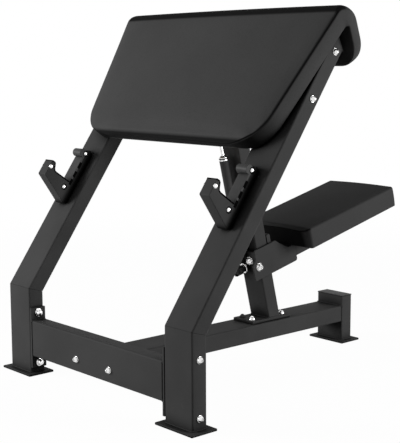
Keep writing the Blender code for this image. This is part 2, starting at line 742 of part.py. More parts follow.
def arm_pad_loops():
    """Cross sections of the pad from its low front edge, over the top, to the end of the drop."""
    loops = []
    for step in range(4):
        angle = pi / 2 * step / 3
        s = PAD_BOTTOM + PAD_END_EDGE * (1 - cos(angle))
        loss = corner_loss(s - PAD_BOTTOM, PAD_PLAN_CORNER)
        loops.append(pad_section((-PAD_BACK, s), (-PAD_FRONT, s), PAD_END_EDGE * (1 - sin(angle)),
                                 PAD_CROWN * step / 6, loss))
    centre = pad_hollow_centre()
    rises = [PAD_PLAN_CORNER * share for share in PAD_CORNER_ROWS]
    rises += [(centre.y - PAD_BOTTOM) * share for share in PAD_FRONT_ROWS]
    for rise in rises:
        s = PAD_BOTTOM + rise
        loops.append(pad_section((-PAD_BACK, s), (-PAD_FRONT, s), 0.0, PAD_CROWN,
                                 corner_loss(rise, PAD_PLAN_CORNER)))
    bend, drop_end = pad_top_line()
    for point in bend[1:]:
        inner = centre + (point - centre).normalized() * PAD_HOLLOW_RADIUS
        loops.append(pad_section(inner, point, 0.0, PAD_CROWN / 2, 0.0))
    drop = drop_direction()
    outward = Vector((drop.y, -drop.x))
    if outward.x < 0:
        outward = -outward
    inner_end = centre + outward * PAD_HOLLOW_RADIUS
    inner_end += drop * (drop_end - inner_end).dot(drop)
    length = (inner_end - centre).dot(drop)
    for share in PAD_DROP_ROWS:
        back = drop * length * share
        loops.append(pad_section(inner_end - back, drop_end - back, 0.0, PAD_CROWN / 2,
                                 corner_loss(length * share, PAD_DROP_PLAN_CORNER)))
    for step in range(4):
        angle = pi / 2 * step / 3
        back = PAD_DROP_END_EDGE * (1 - sin(angle))
        loops.append(pad_section(inner_end - drop * back, drop_end - drop * back,
                                 PAD_DROP_END_EDGE * (1 - cos(angle)), 0.0,
                                 corner_loss(back, PAD_DROP_PLAN_CORNER)))
    return loops


def arm_pad(slope):
    """The hooked cushion and the board behind it."""
    cushion = loft("arm_pad_cushion", arm_pad_loops(), slope, vinyl)
    height = PAD_BOARD_HIGH - PAD_BOARD_LOW
    centre = (0, -GAP - PAD_BOARD_THICKNESS / 2, PAD_BOARD_LOW + height / 2)
    size = (2 * PAD_BOARD_HALF_WIDTH, PAD_BOARD_THICKNESS, height)
    box("arm_pad_board", size, centre, slope, wood)
    room = [length + 2 * GAP for length in size]
    cut(cushion, box("arm_pad_pocket", room, centre, slope, None))


def holder_outline():
    """Side outline of a bar holder's body, as (depth, height) with depth negative to the front."""
    recess = HOLDER_LINER_FRONT - HOLDER_LINER_THICKNESS - GAP
    corners = [
        (-GAP, HOLDER_BOTTOM + HOLDER_HEEL_RISE, HOLDER_CORNER),
        (-GAP, HOLDER_TOP, HOLDER_CROWN_CORNER),
        (-HOLDER_CROWN_OUT, HOLDER_TOP, HOLDER_SOFT_CORNER),
        (-recess, HOLDER_NOSE_S, 0.0),
        (-recess, HOLDER_SLOT_FLOOR, 0.0),
        (-HOLDER_SLOT_FRONT, HOLDER_SLOT_FLOOR, HOLDER_SOFT_CORNER),
        (-HOLDER_SLOT_FRONT - HOLDER_TIP_SLANT, HOLDER_TIP_TOP, HOLDER_SOFT_CORNER),
        (-HOLDER_FRONT, HOLDER_TIP_TOP, HOLDER_CORNER),
        (-HOLDER_FRONT, HOLDER_TIP_BOTTOM, HOLDER_CORNER),
        (-HOLDER_HEEL, HOLDER_BOTTOM, HOLDER_SOFT_CORNER),
    ]
    return rounded(corners, 2)


def liner_outline():
    """Side outline of the slot liner: a strip down to the slot's floor, with a round nose on top."""
    low = HOLDER_SLOT_FLOOR + GAP
    drop = asin((HOLDER_NOSE_OUT - HOLDER_LINER_FRONT) / HOLDER_NOSE_RADIUS)
    nose = arc((-HOLDER_NOSE_OUT, HOLDER_NOSE_S), HOLDER_NOSE_RADIUS, 0, 3 * pi / 2 + drop, 14)
    back = HOLDER_LINER_FRONT - HOLDER_LINER_THICKNESS
    return nose + [(-HOLDER_LINER_FRONT, low), (-back, low), (-back, HOLDER_NOSE_S - HOLDER_NOSE_RADIUS / 2)]


def bar_holder(side, name, slope):
    """A hooked rest for the bar: its body, and the plastic liner with the round nose."""
    x = side * UPRIGHT_X
    body = side_plate(f"bar_holder_{name}", holder_outline(), HOLDER_WIDTH, x, slope, paint,
                      HOLDER_EDGE)
    side_plate(f"bar_holder_liner_{name}", liner_outline(), HOLDER_WIDTH, x, slope, grey)
    cut(body, rod(f"nose_seat_{name}", HOLDER_NOSE_RADIUS + GAP, 2 * HOLDER_WIDTH, slope,
                  (x, -HOLDER_NOSE_OUT, HOLDER_NOSE_S), ALONG_X, None, 20))


def carriage_cheek_outline():
    """Side outline of a carriage cheek, as (back, up) along the column."""
    corners = [
        (CHEEK_FRONT, CHEEK_BOTTOM, CHEEK_CORNER),
        (CHEEK_REAR, CHEEK_BOTTOM, CHEEK_CORNER),
        (CHEEK_REAR, RAIL_TOP, 0.0),
        (CHEEK_RAIL_BACK, RAIL_TOP, CHEEK_SOFT_CORNER),
        (CHEEK_SHOULDER_BACK, CHEEK_SHOULDER_UP, CHEEK_SOFT_CORNER),
        (CHEEK_TOP_BACK, CHEEK_TOP, CHEEK_CORNER),
        (CHEEK_STEP_FRONT, CHEEK_TOP, CHEEK_CORNER),
        (CHEEK_STEP_FRONT, CHEEK_STEP_HIGH, CHEEK_CORNER),
        (CHEEK_FRONT, CHEEK_STEP_LOW, CHEEK_CORNER),
    ]
    return rounded(corners, 2)


def carriage(seat_frame):
    """The sleeve that slides on the column, and the rail that it carries."""
    block_y = -SLIDE_CLEARANCE - FRONT_BLOCK_THICKNESS / 2
    block_height = FRONT_BLOCK_HIGH - FRONT_BLOCK_LOW
    block = box("carriage_front_block", (RAIL_WIDTH, FRONT_BLOCK_THICKNESS, block_height),
                (0, block_y, FRONT_BLOCK_LOW + block_height / 2), seat_frame, paint, edge=PLATE_EDGE)
    for side, name in ((-1, "left"), (1, "right")):
        middle = side * (CHEEK_INNER_X + CHEEK_THICKNESS / 2)
        cheek = side_plate(f"carriage_cheek_{name}", carriage_cheek_outline(), CHEEK_THICKNESS, middle,
                           seat_frame, paint)
        reach = CHEEK_THICKNESS + CHEEK_BOLT_BITE
        place = (side * CHEEK_OUTER_X, block_y, CHEEK_BOLT_V)
        hole = drill(f"hole_cheek_{name}", seat_frame, place, ALONG_X, 2 * (reach + HOLE_CLEARANCE))
        cut(cheek, hole)
        cut(block, hole)
        bolt(f"carriage_side_bolt_{name}", reach, seat_frame, place, (0, side * pi / 2, 0), False,
             CARRIAGE_BOLT_HEAD_RADIUS)
        front = (side * BLOCK_BOLT_X, -SLIDE_CLEARANCE - FRONT_BLOCK_THICKNESS, BLOCK_BOLT_V)
        cut(block, drill(f"hole_block_{name}", seat_frame, front, ALONG_Y, 4 * FRONT_BLOCK_THICKNESS))
        bolt(f"carriage_front_bolt_{name}", FRONT_BLOCK_THICKNESS, seat_frame, front, (pi / 2, 0, 0),
             False, CARRIAGE_BOLT_HEAD_RADIUS)
    cut(block, drill("hole_block_pin", seat_frame, (0, block_y, PIN_V), ALONG_Y,
                     4 * FRONT_BLOCK_THICKNESS, PIN_RADIUS + PIN_CLEARANCE))
    rear = COLUMN_DEPTH + SLIDE_CLEARANCE
    plate_height = REAR_PLATE_HIGH - REAR_PLATE_LOW
    box("carriage_rear_plate", (RAIL_WIDTH, REAR_PLATE_THICKNESS, plate_height),
        (0, rear + REAR_PLATE_THICKNESS / 2, REAR_PLATE_LOW + plate_height / 2), seat_frame, paint,
        edge=PLATE_EDGE)
    rail_start = rear + REAR_PLATE_THICKNESS + GAP
    rail_v = RAIL_TOP - RAIL_DEPTH / 2
    tube("seat_rail", RAIL_WIDTH, RAIL_DEPTH, RAIL_REAR - rail_start, seat_frame,
         (0, rail_start, rail_v), ALONG_Y, paint)
    box("seat_rail_cap", (RAIL_WIDTH, CAP_THICKNESS, RAIL_DEPTH),
        (0, RAIL_REAR + GAP + CAP_THICKNESS / 2, rail_v), seat_frame, plastic, edge=CAP_EDGE)


def seat(seat_frame):
    """The seat cushion, and the board let into its underside."""
    bottom = RAIL_TOP + GAP
    top = bottom + SEAT_THICKNESS
    places = []
    for step in range(4):
        angle = pi / 2 * step / 3
        places.append((SEAT_EDGE * (1 - cos(angle)), SEAT_EDGE * (1 - sin(angle)), 0.25 * step / 3))
    places += [(SEAT_CORNER, 0.0, 0.3), (SEAT_LENGTH * 0.15, 0.0, 0.8), (SEAT_LENGTH * 0.32, 0.0, 1.0)]
    rows = [(along, along, inset, share) for along, inset, share in places]
    rows += [(SEAT_LENGTH - along, along, inset, share) for along, inset, share in reversed(places)]
    loops = []
    for y, from_end, inset, share in rows:
        half = SEAT_HALF_WIDTH - corner_loss(from_end, SEAT_CORNER)
        low = bottom - inset * (1 - SEAT_LOW_EDGE / SEAT_EDGE)
        loops.append(padded_loop((SEAT_FRONT + y, low), (SEAT_FRONT + y, top), half,
                                 (SEAT_LOW_EDGE, SEAT_EDGE), inset, SEAT_CROWN * share, SEAT_SIDE_BULGE))
    cushion = loft("seat_cushion", loops, seat_frame, vinyl)
    length = SEAT_LENGTH - 2 * SEAT_BOARD_MARGIN
    size = (2 * (SEAT_HALF_WIDTH - SEAT_BOARD_MARGIN), length, SEAT_BOARD_THICKNESS)
    centre = (0, SEAT_FRONT + SEAT_LENGTH / 2, bottom + SEAT_BOARD_THICKNESS / 2)
    box("seat_board", size, centre, seat_frame, wood)
    room = [span + 2 * GAP for span in size]
    cut(cushion, box("seat_pocket", room, centre, seat_frame, None))


def pull_pin(seat_frame):
    """The sprung pin that locks the carriage, and the collar that guides it."""
    face = -SLIDE_CLEARANCE - FRONT_BLOCK_THICKNESS
    bore = PIN_RADIUS + PIN_CLEARANCE
    top = PIN_COLLAR_LENGTH + GAP
    collar = [
        (bore, top),
        (PIN_COLLAR_RADIUS * 0.8, top),
        (PIN_COLLAR_RADIUS * 0.8, top / 2),
        (PIN_COLLAR_RADIUS, top / 2),
        (PIN_COLLAR_RADIUS, GAP),
        (bore, GAP),
    ]
    turned("pull_pin_collar", collar, seat_frame, (0, face, PIN_V), (pi / 2, 0, 0), paint, 20, True)
    axis = empty("pull_pin_axis", seat_frame, (0, face, PIN_V), (pi / 2, 0, 0))
    ring_low = top + GAP
    knob_low = ring_low + PIN_RING_LENGTH
    knob_high = knob_low + PIN_KNOB_LENGTH
    pin = [
        (0, knob_high),
        (PIN_KNOB_RADIUS * 0.7, knob_high),
        (PIN_KNOB_RADIUS, knob_high - 0.004),
        (PIN_KNOB_RADIUS, knob_low + 0.004),
        (PIN_KNOB_RADIUS * 0.85, knob_low),
        (PIN_RING_RADIUS, knob_low),
        (PIN_RING_RADIUS, ring_low),
        (PIN_RADIUS, ring_low),
        (PIN_RADIUS, face - PIN_TIP + 0.001),
        (PIN_RADIUS - 0.001, face - PIN_TIP),
        (0, face - PIN_TIP),
    ]
    turned("pull_pin", pin, axis, (0, 0, 0), (0, 0, 0), plastic, 20)


def ball(centre, radius, start, stop, steps):
    """Points down the outside of a ball, by angle from its top, for a turned profile."""
    points = []
    for step in range(steps + 1):
        angle = start + (stop - start) * step / steps
        points.append((radius * sin(angle), centre + radius * cos(angle)))
    return points


def strut_stud(name, base, parent, v, material):
    """The stud that one eye of the strut sits on. It stands on a front face, base out from the column's."""
    eye = STRUT_EYE_RADIUS + GAP
    out = STRUT_OUT + eye
    profile = [
        (0, out + 0.004),
        (STRUT_STUD_RADIUS * 1.3, out + 0.004),
        (STRUT_STUD_RADIUS * 1.7, out + 0.003),
        (STRUT_STUD_RADIUS * 1.7, out),
        (STRUT_STUD_RADIUS, out),
        (STRUT_STUD_RADIUS, STRUT_OUT - eye),
        (STRUT_STUD_RADIUS * 1.8, STRUT_OUT - eye),
        (STRUT_STUD_RADIUS * 1.8, base + GAP),
        (0, base + GAP),
    ]
    turned(name, profile, parent, (0, 0, v), (pi / 2, 0, 0), material)


def gas_strut(lean, seat_frame):
    """The strut's body stands on the carriage, and its rod hangs from the top of the column."""
    bore = STRUT_ROD_RADIUS + PIN_CLEARANCE
    rod_low = STRUT_BODY_TOP - STRUT_INSERTION
    floor = rod_low - SEAT_TRAVEL - STRUT_BODY_WALL
    neck = asin(STRUT_RADIUS * 0.6 / STRUT_EYE_RADIUS)
    body = [
        (0, floor),
        (bore, floor),
        (bore, STRUT_BODY_TOP),
        (STRUT_RADIUS - 0.002, STRUT_BODY_TOP),
        (STRUT_RADIUS, STRUT_BODY_TOP - 0.002),
        (STRUT_RADIUS, STRUT_LOWER_V + STRUT_EYE_RADIUS + 0.008),
        (STRUT_RADIUS * 0.6, STRUT_LOWER_V + STRUT_EYE_RADIUS + 0.004),
    ]
    body += ball(STRUT_LOWER_V, STRUT_EYE_RADIUS, neck, pi, 6)
    cylinder = turned("strut_body", body, seat_frame, (0, -STRUT_OUT, 0), (0, 0, 0), paint, 16)
    stem = ball(STRUT_UPPER_V, STRUT_EYE_RADIUS, 0, pi - asin(STRUT_ROD_RADIUS / STRUT_EYE_RADIUS), 6)
    stem += [(STRUT_ROD_RADIUS, rod_low), (0, rod_low)]
    piston = turned("strut_rod", stem, lean, (0, -STRUT_OUT, 0), (0, 0, 0), chrome_material, 16)
    hole = STRUT_STUD_RADIUS + PIN_CLEARANCE
    block_front = SLIDE_CLEARANCE + FRONT_BLOCK_THICKNESS
    ends = (
        ("lower", cylinder, seat_frame, STRUT_LOWER_V, block_front, paint),
        ("upper", piston, lean, STRUT_UPPER_V, 0.0, chrome_material),
    )
    for name, eye, frame, v, base, material in ends:
        cut(eye, drill(f"hole_strut_{name}", frame, (0, -STRUT_OUT, v), ALONG_Y, 4 * STRUT_EYE_RADIUS, hole))
        strut_stud(f"strut_{name}_stud", base, frame, v, material)


def centre_over_origin(bench):
    """Move the bench along Y until its bounding box stands over the origin."""
    bpy.context.view_layer.update()
    depsgraph = bpy.context.evaluated_depsgraph_get()
    reach = []
    for obj in PARTS.objects:
        if obj.type != "MESH":
            continue
        shape = obj.evaluated_get(depsgraph)
        reach += [(shape.matrix_world @ vertex.co).y for vertex in shape.data.vertices]
    bench.location.y -= (min(reach) + max(reach)) / 2
    bpy.context.view_layer.update()
    print("uprights' front faces at y =", round(bench.location.y, 6))


clear_scene()
paint = black_paint()
vinyl = black_vinyl()
plastic = black_plastic()
grey = grey_plastic()
chrome_material = chrome()
wood = plywood()

bench_frame = empty("bench_frame", None)
slope_frame = empty("slope_frame", bench_frame, (0, 0, BEND_HEIGHT), (-SLOPE, 0, 0))
lean_frame = empty("column_frame", bench_frame, (0, COLUMN_FRONT_Y, SPINE_TOP_Z), (LEAN, 0, 0))
carriage_frame = empty("seat_carriage_frame", lean_frame)

left_posts = upright(-1, "left", bench_frame, slope_frame)
right_posts = upright(1, "right", bench_frame, slope_frame)
front_beam = cross_beam("front_beam", bench_frame, BEAM_DEPTH / 2, FRONT_BEAM_Z,
                        (left_posts[0], right_posts[0]))
top_beam = cross_beam("upper_beam", slope_frame, BEAM_DEPTH / 2, UPPER_BEAM_S,
                      (left_posts[1], right_posts[1]))
spine_tube = spine_and_post(bench_frame, front_beam)
column(bench_frame, slope_frame, lean_frame, spine_tube, top_beam)
arm_pad(slope_frame)
bar_holder(-1, "left", slope_frame)
bar_holder(1, "right", slope_frame)
carriage(carriage_frame)
seat(carriage_frame)
pull_pin(carriage_frame)
gas_strut(lean_frame, carriage_frame)
centre_over_origin(bench_frame)
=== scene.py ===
import json
from dataclasses import dataclass
from math import atan2, ceil, cos, pi, radians, sin, sqrt, tan, tanh

import bmesh
import bpy
from mathutils import Matrix, Vector, noise


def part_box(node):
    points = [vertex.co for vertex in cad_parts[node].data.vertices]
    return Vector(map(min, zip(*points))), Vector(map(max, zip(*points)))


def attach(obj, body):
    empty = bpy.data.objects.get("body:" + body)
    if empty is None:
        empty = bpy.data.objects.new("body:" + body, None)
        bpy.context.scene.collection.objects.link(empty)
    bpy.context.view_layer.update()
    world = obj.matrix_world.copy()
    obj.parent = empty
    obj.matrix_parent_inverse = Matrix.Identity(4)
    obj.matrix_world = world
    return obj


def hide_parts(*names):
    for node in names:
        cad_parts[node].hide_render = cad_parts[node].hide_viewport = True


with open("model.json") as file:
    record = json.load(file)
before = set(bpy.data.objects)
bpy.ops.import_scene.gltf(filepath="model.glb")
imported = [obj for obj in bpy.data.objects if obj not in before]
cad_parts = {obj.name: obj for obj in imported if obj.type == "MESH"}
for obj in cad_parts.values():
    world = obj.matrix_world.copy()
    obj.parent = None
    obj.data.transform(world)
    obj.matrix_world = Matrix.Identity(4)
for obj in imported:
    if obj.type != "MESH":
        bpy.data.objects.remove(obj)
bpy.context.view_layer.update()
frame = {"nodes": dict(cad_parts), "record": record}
nodes = frame["nodes"]


def move(x, y, z):
    return Matrix.Translation((x, y, z))


def tilt(angle, axis):
    return Matrix.Rotation(angle, 4, axis)


# Places that the pieces are measured from, in metres. BENCH starts at the uprights' front faces.
# ON_SLOPE starts at the uprights' bend, with -y out from their sloping fronts and z up the slope.
# ON_COLUMN starts at the column's foot, with -y ahead of its front face and z up along it.
FRONT_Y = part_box("upright_lower_left")[0].y
SLOPE = radians(35.2)
LEAN = radians(13.9)
BEND_HEIGHT = 0.2409
COLUMN_FRONT_Y = 0.5986
SPINE_TOP = 0.112
GAP = 0.0003

BENCH = move(0, FRONT_Y, 0)
ON_SLOPE = BENCH @ move(0, 0, BEND_HEIGHT) @ tilt(-SLOPE, "X")
ON_COLUMN = BENCH @ move(0, COLUMN_FRONT_Y, SPINE_TOP) @ tilt(LEAN, "X")
FACING_FRONT = tilt(pi / 2, "X")
SIDES = ((-1, "left"), (1, "right"))

# Steel
HALF_WIDTH = 0.386
UPRIGHT_WIDTH = 0.100
UPRIGHT_X = HALF_WIDTH - UPRIGHT_WIDTH / 2
TUBE_DEPTH = 0.045
TUBE_CORNER = 0.005
FLANGE = 0.008
FOOT_BEAD_Z = 0.0064
BEAM_HEIGHT = 0.100
FRONT_BEAM_Z = 0.1035
UPPER_BEAM_S = 0.7182
SPINE_WIDTH = 0.100
SPINE_HEIGHT = 0.049
SPINE_FRONT_Y = 0.0536
SPINE_REAR_Y = 0.8975
POST_WIDTH = 0.100
POST_DEPTH = 0.0445
POST_MIDDLE_Y = 0.92015
BASE_PLATE_FRONT = 0.530
BASE_PLATE_REAR = 0.682
COLUMN_WIDTH = 0.0766
COLUMN_DEPTH = 0.0444
CHEEK_OUTER_X = 0.0438
BLOCK_FRONT = 0.0119
BLOCK_MIDDLE = 0.0062


# Camera, floor and light

CAMERA_AZIMUTH = radians(48.455)
CAMERA_ELEVATION = radians(8.226)
CAMERA_ROLL = radians(-0.239)
CAMERA_PLACE = (2.22606, -1.60503, 0.84861)
CAMERA_LENS = 89.84

# Each lamp's name, place, aim, width and power
LAMPS = (
    ("front_light", (-2.3, -2.7, 1.20), (0, 0, 0.7), 1.5, 138),
    ("rear_light", (2.6, 1.3, 0.85), (0, 0, 0.6), 1.3, 87),
    ("fill_light", (-0.1, -3.4, 1.0), (0, 0, 0.6), 1.5, 19),
)

FLOOR_REACH = 14.0
FLOOR_WHITENS_FROM = 1.3
FLOOR_WHITE_AT = 3.5


def in_scene(name, data):
    """A new object in the scene."""
    made = bpy.data.objects.new(name, data)
    bpy.context.scene.collection.objects.link(made)
    return made


def make_camera():
    """The photograph's viewpoint."""
    azimuth = CAMERA_AZIMUTH
    elevation = CAMERA_ELEVATION
    look = Vector((-sin(azimuth) * cos(elevation), cos(azimuth) * cos(elevation), -sin(elevation)))
    level = Vector((cos(azimuth), sin(azimuth), 0))
    upward = level.cross(look)
    right = level * cos(CAMERA_ROLL) + upward * sin(CAMERA_ROLL)
    upward = upward * cos(CAMERA_ROLL) - level * sin(CAMERA_ROLL)
    place = Matrix((right, upward, -look)).transposed().to_4x4()
    place.translation = BENCH @ Vector(CAMERA_PLACE)
    data = bpy.data.cameras.new("camera")
    data.sensor_width = 36
    data.lens = CAMERA_LENS
    data.clip_end = 60
    camera = in_scene("camera", data)
    camera.matrix_world = place
    bpy.context.scene.camera = camera


def area_light(name, place, aim, size, power):
    """A soft square lamp that points at a spot."""
    data = bpy.data.lights.new(name, "AREA")
    data.shape = "SQUARE"
    data.size = size
    data.energy = power
    lamp = in_scene(name, data)
    lamp.location = place
    lamp.rotation_euler = (Vector(aim) - Vector(place)).to_track_quat("-Z", "Y").to_euler()


# Shader tools. The painted shade of close corners starts at one share of open air and is full at another.

CORNER_SHADE_STARTS = 0.96
CORNER_SHADE_FULL = 0.36
CORNER_SHADE_SAMPLES = 12


class Value:
    """A shader socket in arithmetic: an expression on values adds its Math nodes."""

    def __init__(self, finish, socket):
        self.finish = finish
        self.socket = socket

    def math(self, operation, first, second):
        return self.finish.node("ShaderNodeMath", {"operation": operation}, {0: first, 1: second})

    def __add__(self, other):
        return self.math("ADD", self, other)

    __radd__ = __add__

    def __sub__(self, other):
        return self.math("SUBTRACT", self, other)

    def __rsub__(self, other):
        return self.math("SUBTRACT", other, self)

    def __mul__(self, other):
        return self.math("MULTIPLY", self, other)

    __rmul__ = __mul__


class Finish:
    """A material under construction."""

    def __init__(self, name, world=False):
        if world:
            self.block = bpy.data.worlds.new(name)
        else:
            self.block = bpy.data.materials.new(name)
        self.block.use_nodes = True
        self.tree = self.block.node_tree
        self.tree.nodes.clear()

    @staticmethod
    def pick(sockets, key):
        """A socket by its number, or the one of that name that is in use."""
        if isinstance(key, int):
            return sockets[key]
        return next(socket for socket in sockets if socket.name == key and socket.enabled)

    def node(self, kind, settings=None, sockets=None, output=0):
        """A node of any type, with its settings set first, and then its sockets' values or links."""
        made = self.tree.nodes.new(kind)
        for key, value in (settings or {}).items():
            setattr(made, key, value)
        for key, value in (sockets or {}).items():
            socket = self.pick(made.inputs, key)
            if isinstance(value, Value):
                self.tree.links.new(value.socket, socket)
            else:
                socket.default_value = value
        return Value(self, self.pick(made.outputs, output)) if made.outputs else made

    def place(self, turn=0.0, stretch=(1, 1, 1)):
        """Object coordinates in metres, turned about X and stretched."""
        spot = self.node("ShaderNodeTexCoord", output="Object")
        if not turn and stretch == (1, 1, 1):
            return spot
        sockets = {"Vector": spot, "Rotation": (turn, 0, 0), "Scale": stretch}
        return self.node("ShaderNodeMapping", None, sockets)

    def noise(self, place, scale, detail, roughness=0.5, warp=0.0):
        sockets = {"Vector": place, "Scale": scale, "Detail": detail, "Roughness": roughness,
                   "Distortion": warp}
        return self.node("ShaderNodeTexNoise", None, sockets, "Fac")

    def cells(self, place, scale):
        return self.node("ShaderNodeTexVoronoi", {"feature": "F1"}, {"Vector": place, "Scale": scale},
                         "Distance")

    def fade(self, value, start, stop):
        """0 before start, 1 after stop, and a soft step between."""
        sockets = {"Value": value, "From Min": start, "From Max": stop}
        return self.node("ShaderNodeMapRange", {"interpolation_type": "SMOOTHSTEP"}, sockets)

    def mix(self, share, first, second):
        """One colour into another."""
        sockets = {"Factor": share, "A": first, "B": second}
        return self.node("ShaderNodeMix", {"data_type": "RGBA"}, sockets, "Result")

    def axis(self, vector, name):
        return self.node("ShaderNodeSeparateXYZ", None, {0: vector}, name)

    def bump(self, height, distance, strength):
        sockets = {"Height": height, "Distance": distance, "Strength": strength}
        return self.node("ShaderNodeBump", None, sockets, "Normal")

    def corners(self, reach, strength):
        """How much painted shade of close corners lies on a spot, from 0 to strength, read from an ambient
        occlusion node.
        """
        samples = {"samples": CORNER_SHADE_SAMPLES}
        open_air = self.node("ShaderNodeAmbientOcclusion", samples, {"Distance": reach}, "AO")
        return self.fade(open_air, CORNER_SHADE_STARTS, CORNER_SHADE_FULL) * strength

    def surface(self, sockets):
        """Ends the material in one Principled shader."""
        shader = self.node("ShaderNodeBsdfPrincipled", None, sockets)
        self.node("ShaderNodeOutputMaterial", None, {"Surface": shader})
        return self.block


def grey(level, warm=0.0):
    return (level * (1 + warm), level, level * (1 - warm), 1)


# Finishes

WHITE = grey(1.0)
NEAR_BLACK = grey(0.003)
COAT_SPECULAR = 0.012
VINYL_SPECULAR = 0.010
CONTACT_SHADOW_STARTS = 0.030
CONTACT_SHADOW_FULL = 0.009
DUST_HEIGHT = 0.14
PLY = 0.003


def powder_coat(name, level, painted_contact_shadow=False):
    """Satin black powder coat: a fine orange peel, faint clouding, dust and scuffs near the floor, and
    painted shade in close corners.
    With a painted contact shadow it darkens to black where the piece lies against an upright's sloping
    front."""
    finish = Finish(name)
    place = finish.place()
    cloud = finish.noise(place, 7.0, 4.0)
    peel = finish.noise(place, 620.0, 2.0)
    grain = finish.noise(place, 2400.0, 1.0)
    height = finish.axis(place, "Z")
    low = 1 - finish.fade(height, 0.0, DUST_HEIGHT)
    scuffs = low * finish.fade(finish.noise(place, 42.0, 6.0, 0.7, 1.2), 0.60, 0.72)
    colour = finish.mix(finish.fade(cloud, 0.3, 0.7), grey(level * 0.91), grey(level * 1.09))
    colour = finish.mix(finish.fade(grain, 0.55, 0.75) * 0.35, colour, grey(level * 1.6))
    colour = finish.mix(scuffs * 0.35, colour, grey(0.11, 0.04))
    if painted_contact_shadow:
        # Painted contact shadow: black where the piece lies close against an upright's sloping front.
        front = FRONT_Y * cos(SLOPE) - BEND_HEIGHT * sin(SLOPE)
        ahead = front - finish.axis(finish.place(SLOPE), "Y")
        colour = finish.mix(finish.fade(ahead, CONTACT_SHADOW_STARTS, CONTACT_SHADOW_FULL), colour, NEAR_BLACK)
    # Painted shade in close corners.
    colour = finish.mix(finish.corners(0.050, 0.90), colour, NEAR_BLACK)
    roughness = 0.47 + cloud * 0.08 + scuffs * 0.2
    normal = finish.bump(peel * 0.7 + grain * 0.3, 0.00012, 0.55)
    return finish.surface({"Base Color": colour, "Roughness": roughness, "Normal": normal,
                           "Specular IOR Level": COAT_SPECULAR})


def vinyl(name, level):
    """Black upholstery vinyl: a pebbled grain, soft mottling, a dark seam line, and painted shade from the
    cushion's rows and in close corners.
    """
    finish = Finish(name)
    place = finish.place()
    wander = finish.noise(place, 90.0, 2.0)
    pebble = finish.cells(place, 480.0)
    fine = finish.cells(place, 1300.0)
    cloud = finish.noise(place, 5.0, 3.0)
    # The seam attribute carries the dark seam line and the cushion's painted shade.
    seam = finish.node("ShaderNodeAttribute", {"attribute_name": "seam"}, None, "Fac")
    colour = finish.mix(finish.fade(cloud, 0.25, 0.75), grey(level * 0.94), grey(level * 1.06))
    colour = finish.mix(finish.fade(pebble, 0.55, 0.95) * 0.5, colour, grey(level * 0.6))
    colour = finish.mix(seam * 0.97, colour, NEAR_BLACK)
    # Painted shade in close corners.
    colour = finish.mix(finish.corners(0.06, 0.45), colour, NEAR_BLACK)
    roughness = 0.50 + wander * 0.07 + seam * 0.2
    normal = finish.bump(pebble * 0.7 + fine * 0.2 + wander * 0.5, 0.0002, 0.5)
    return finish.surface({"Base Color": colour, "Roughness": roughness, "Normal": normal,
                           "Specular IOR Level": VINYL_SPECULAR})


def moulded(name, low, high, wear=0.0, gloss=0.10):
    """Moulded plastic or rubber with a spark-eroded texture, rubbed pale as far as wear says, and painted
    shade in close corners.
    """
    finish = Finish(name)
    place = finish.place()
    cloud = finish.noise(place, 14.0, 3.0)
    spark = finish.noise(place, 1500.0, 2.0, 0.6)
    colour = finish.mix(cloud, grey(low), grey(high))
    rub = finish.fade(finish.noise(place, 120.0, 5.0, 0.65, 0.6), 0.52, 0.70) * wear
    colour = finish.mix(rub, colour, grey(high * 2.2))
    # Painted shade in close corners.
    colour = finish.mix(finish.corners(0.03, 0.8), colour, NEAR_BLACK)
    roughness = 0.46 + cloud * 0.08 - rub * 0.15
    return finish.surface({"Base Color": colour, "Roughness": roughness,
                           "Normal": finish.bump(spark, 0.00010, 0.6), "Specular IOR Level": gloss})


def chrome():
    """Bright plating with faint polishing marks and smudges."""
    finish = Finish("chrome_finish")
    place = finish.place()
    smudge = finish.noise(place, 160.0, 4.0)
    marks = finish.noise(finish.place(0.0, (1, 1, 12)), 900.0, 2.0)
    colour = finish.mix(finish.fade(smudge, 0.3, 0.8), grey(0.86), grey(0.70, 0.01))
    return finish.surface({"Base Color": colour, "Metallic": 1.0, "Roughness": 0.13 + smudge * 0.12,
                           "Normal": finish.bump(marks, 0.00003, 0.4)})


def plywood(name, turn):
    """Birch plywood: long grain on the faces, plies along the edges."""
    finish = Finish(name)
    face = finish.place(turn, (1.0, 14.0, 14.0))
    streak = finish.noise(face, 9.0, 6.0, 0.6, 0.8)
    pores = finish.noise(finish.place(turn, (3.0, 60.0, 60.0)), 16.0, 3.0)
    depth = finish.axis(finish.place(turn), "Y")
    plies = finish.node("ShaderNodeMath", {"operation": "SINE"}, {0: depth * (2 * pi / PLY)})
    colour = finish.mix(finish.fade(streak, 0.3, 0.75), (0.40, 0.27, 0.15, 1), (0.25, 0.15, 0.075, 1))
    colour = finish.mix(finish.fade(plies, 0.2, 0.9) * 0.25, colour, (0.16, 0.09, 0.045, 1))
    colour = finish.mix(finish.fade(pores, 0.58, 0.72) * 0.4, colour, (0.12, 0.07, 0.035, 1))
    return finish.surface({"Base Color": colour, "Roughness": 0.62 + streak * 0.2,
                           "Normal": finish.bump(streak + pores * 0.5, 0.0003, 0.4)})


def shown_to_eye(finish):
    """1 for what the camera, a mirror or glass sees, and 0 for light on its way."""
    path = "ShaderNodeLightPath"
    seen = finish.node(path, output="Is Camera Ray") + finish.node(path, output="Is Glossy Ray")
    seen = seen + finish.node(path, output="Is Transmission Ray")
    return finish.node("ShaderNodeMath", {"operation": "MINIMUM"}, {0: seen, 1: 1.0})


def make_surround(ambient):
    """White to look at, and only as bright as ambient for the light it sheds."""
    surround = Finish("surround", world=True)
    strength = shown_to_eye(surround) * (1.0 - ambient) + ambient
    glow = surround.node("ShaderNodeBackground", None, {"Color": WHITE, "Strength": strength})
    surround.node("ShaderNodeOutputWorld", None, {"Surface": glow})
    bpy.context.scene.world = surround.block


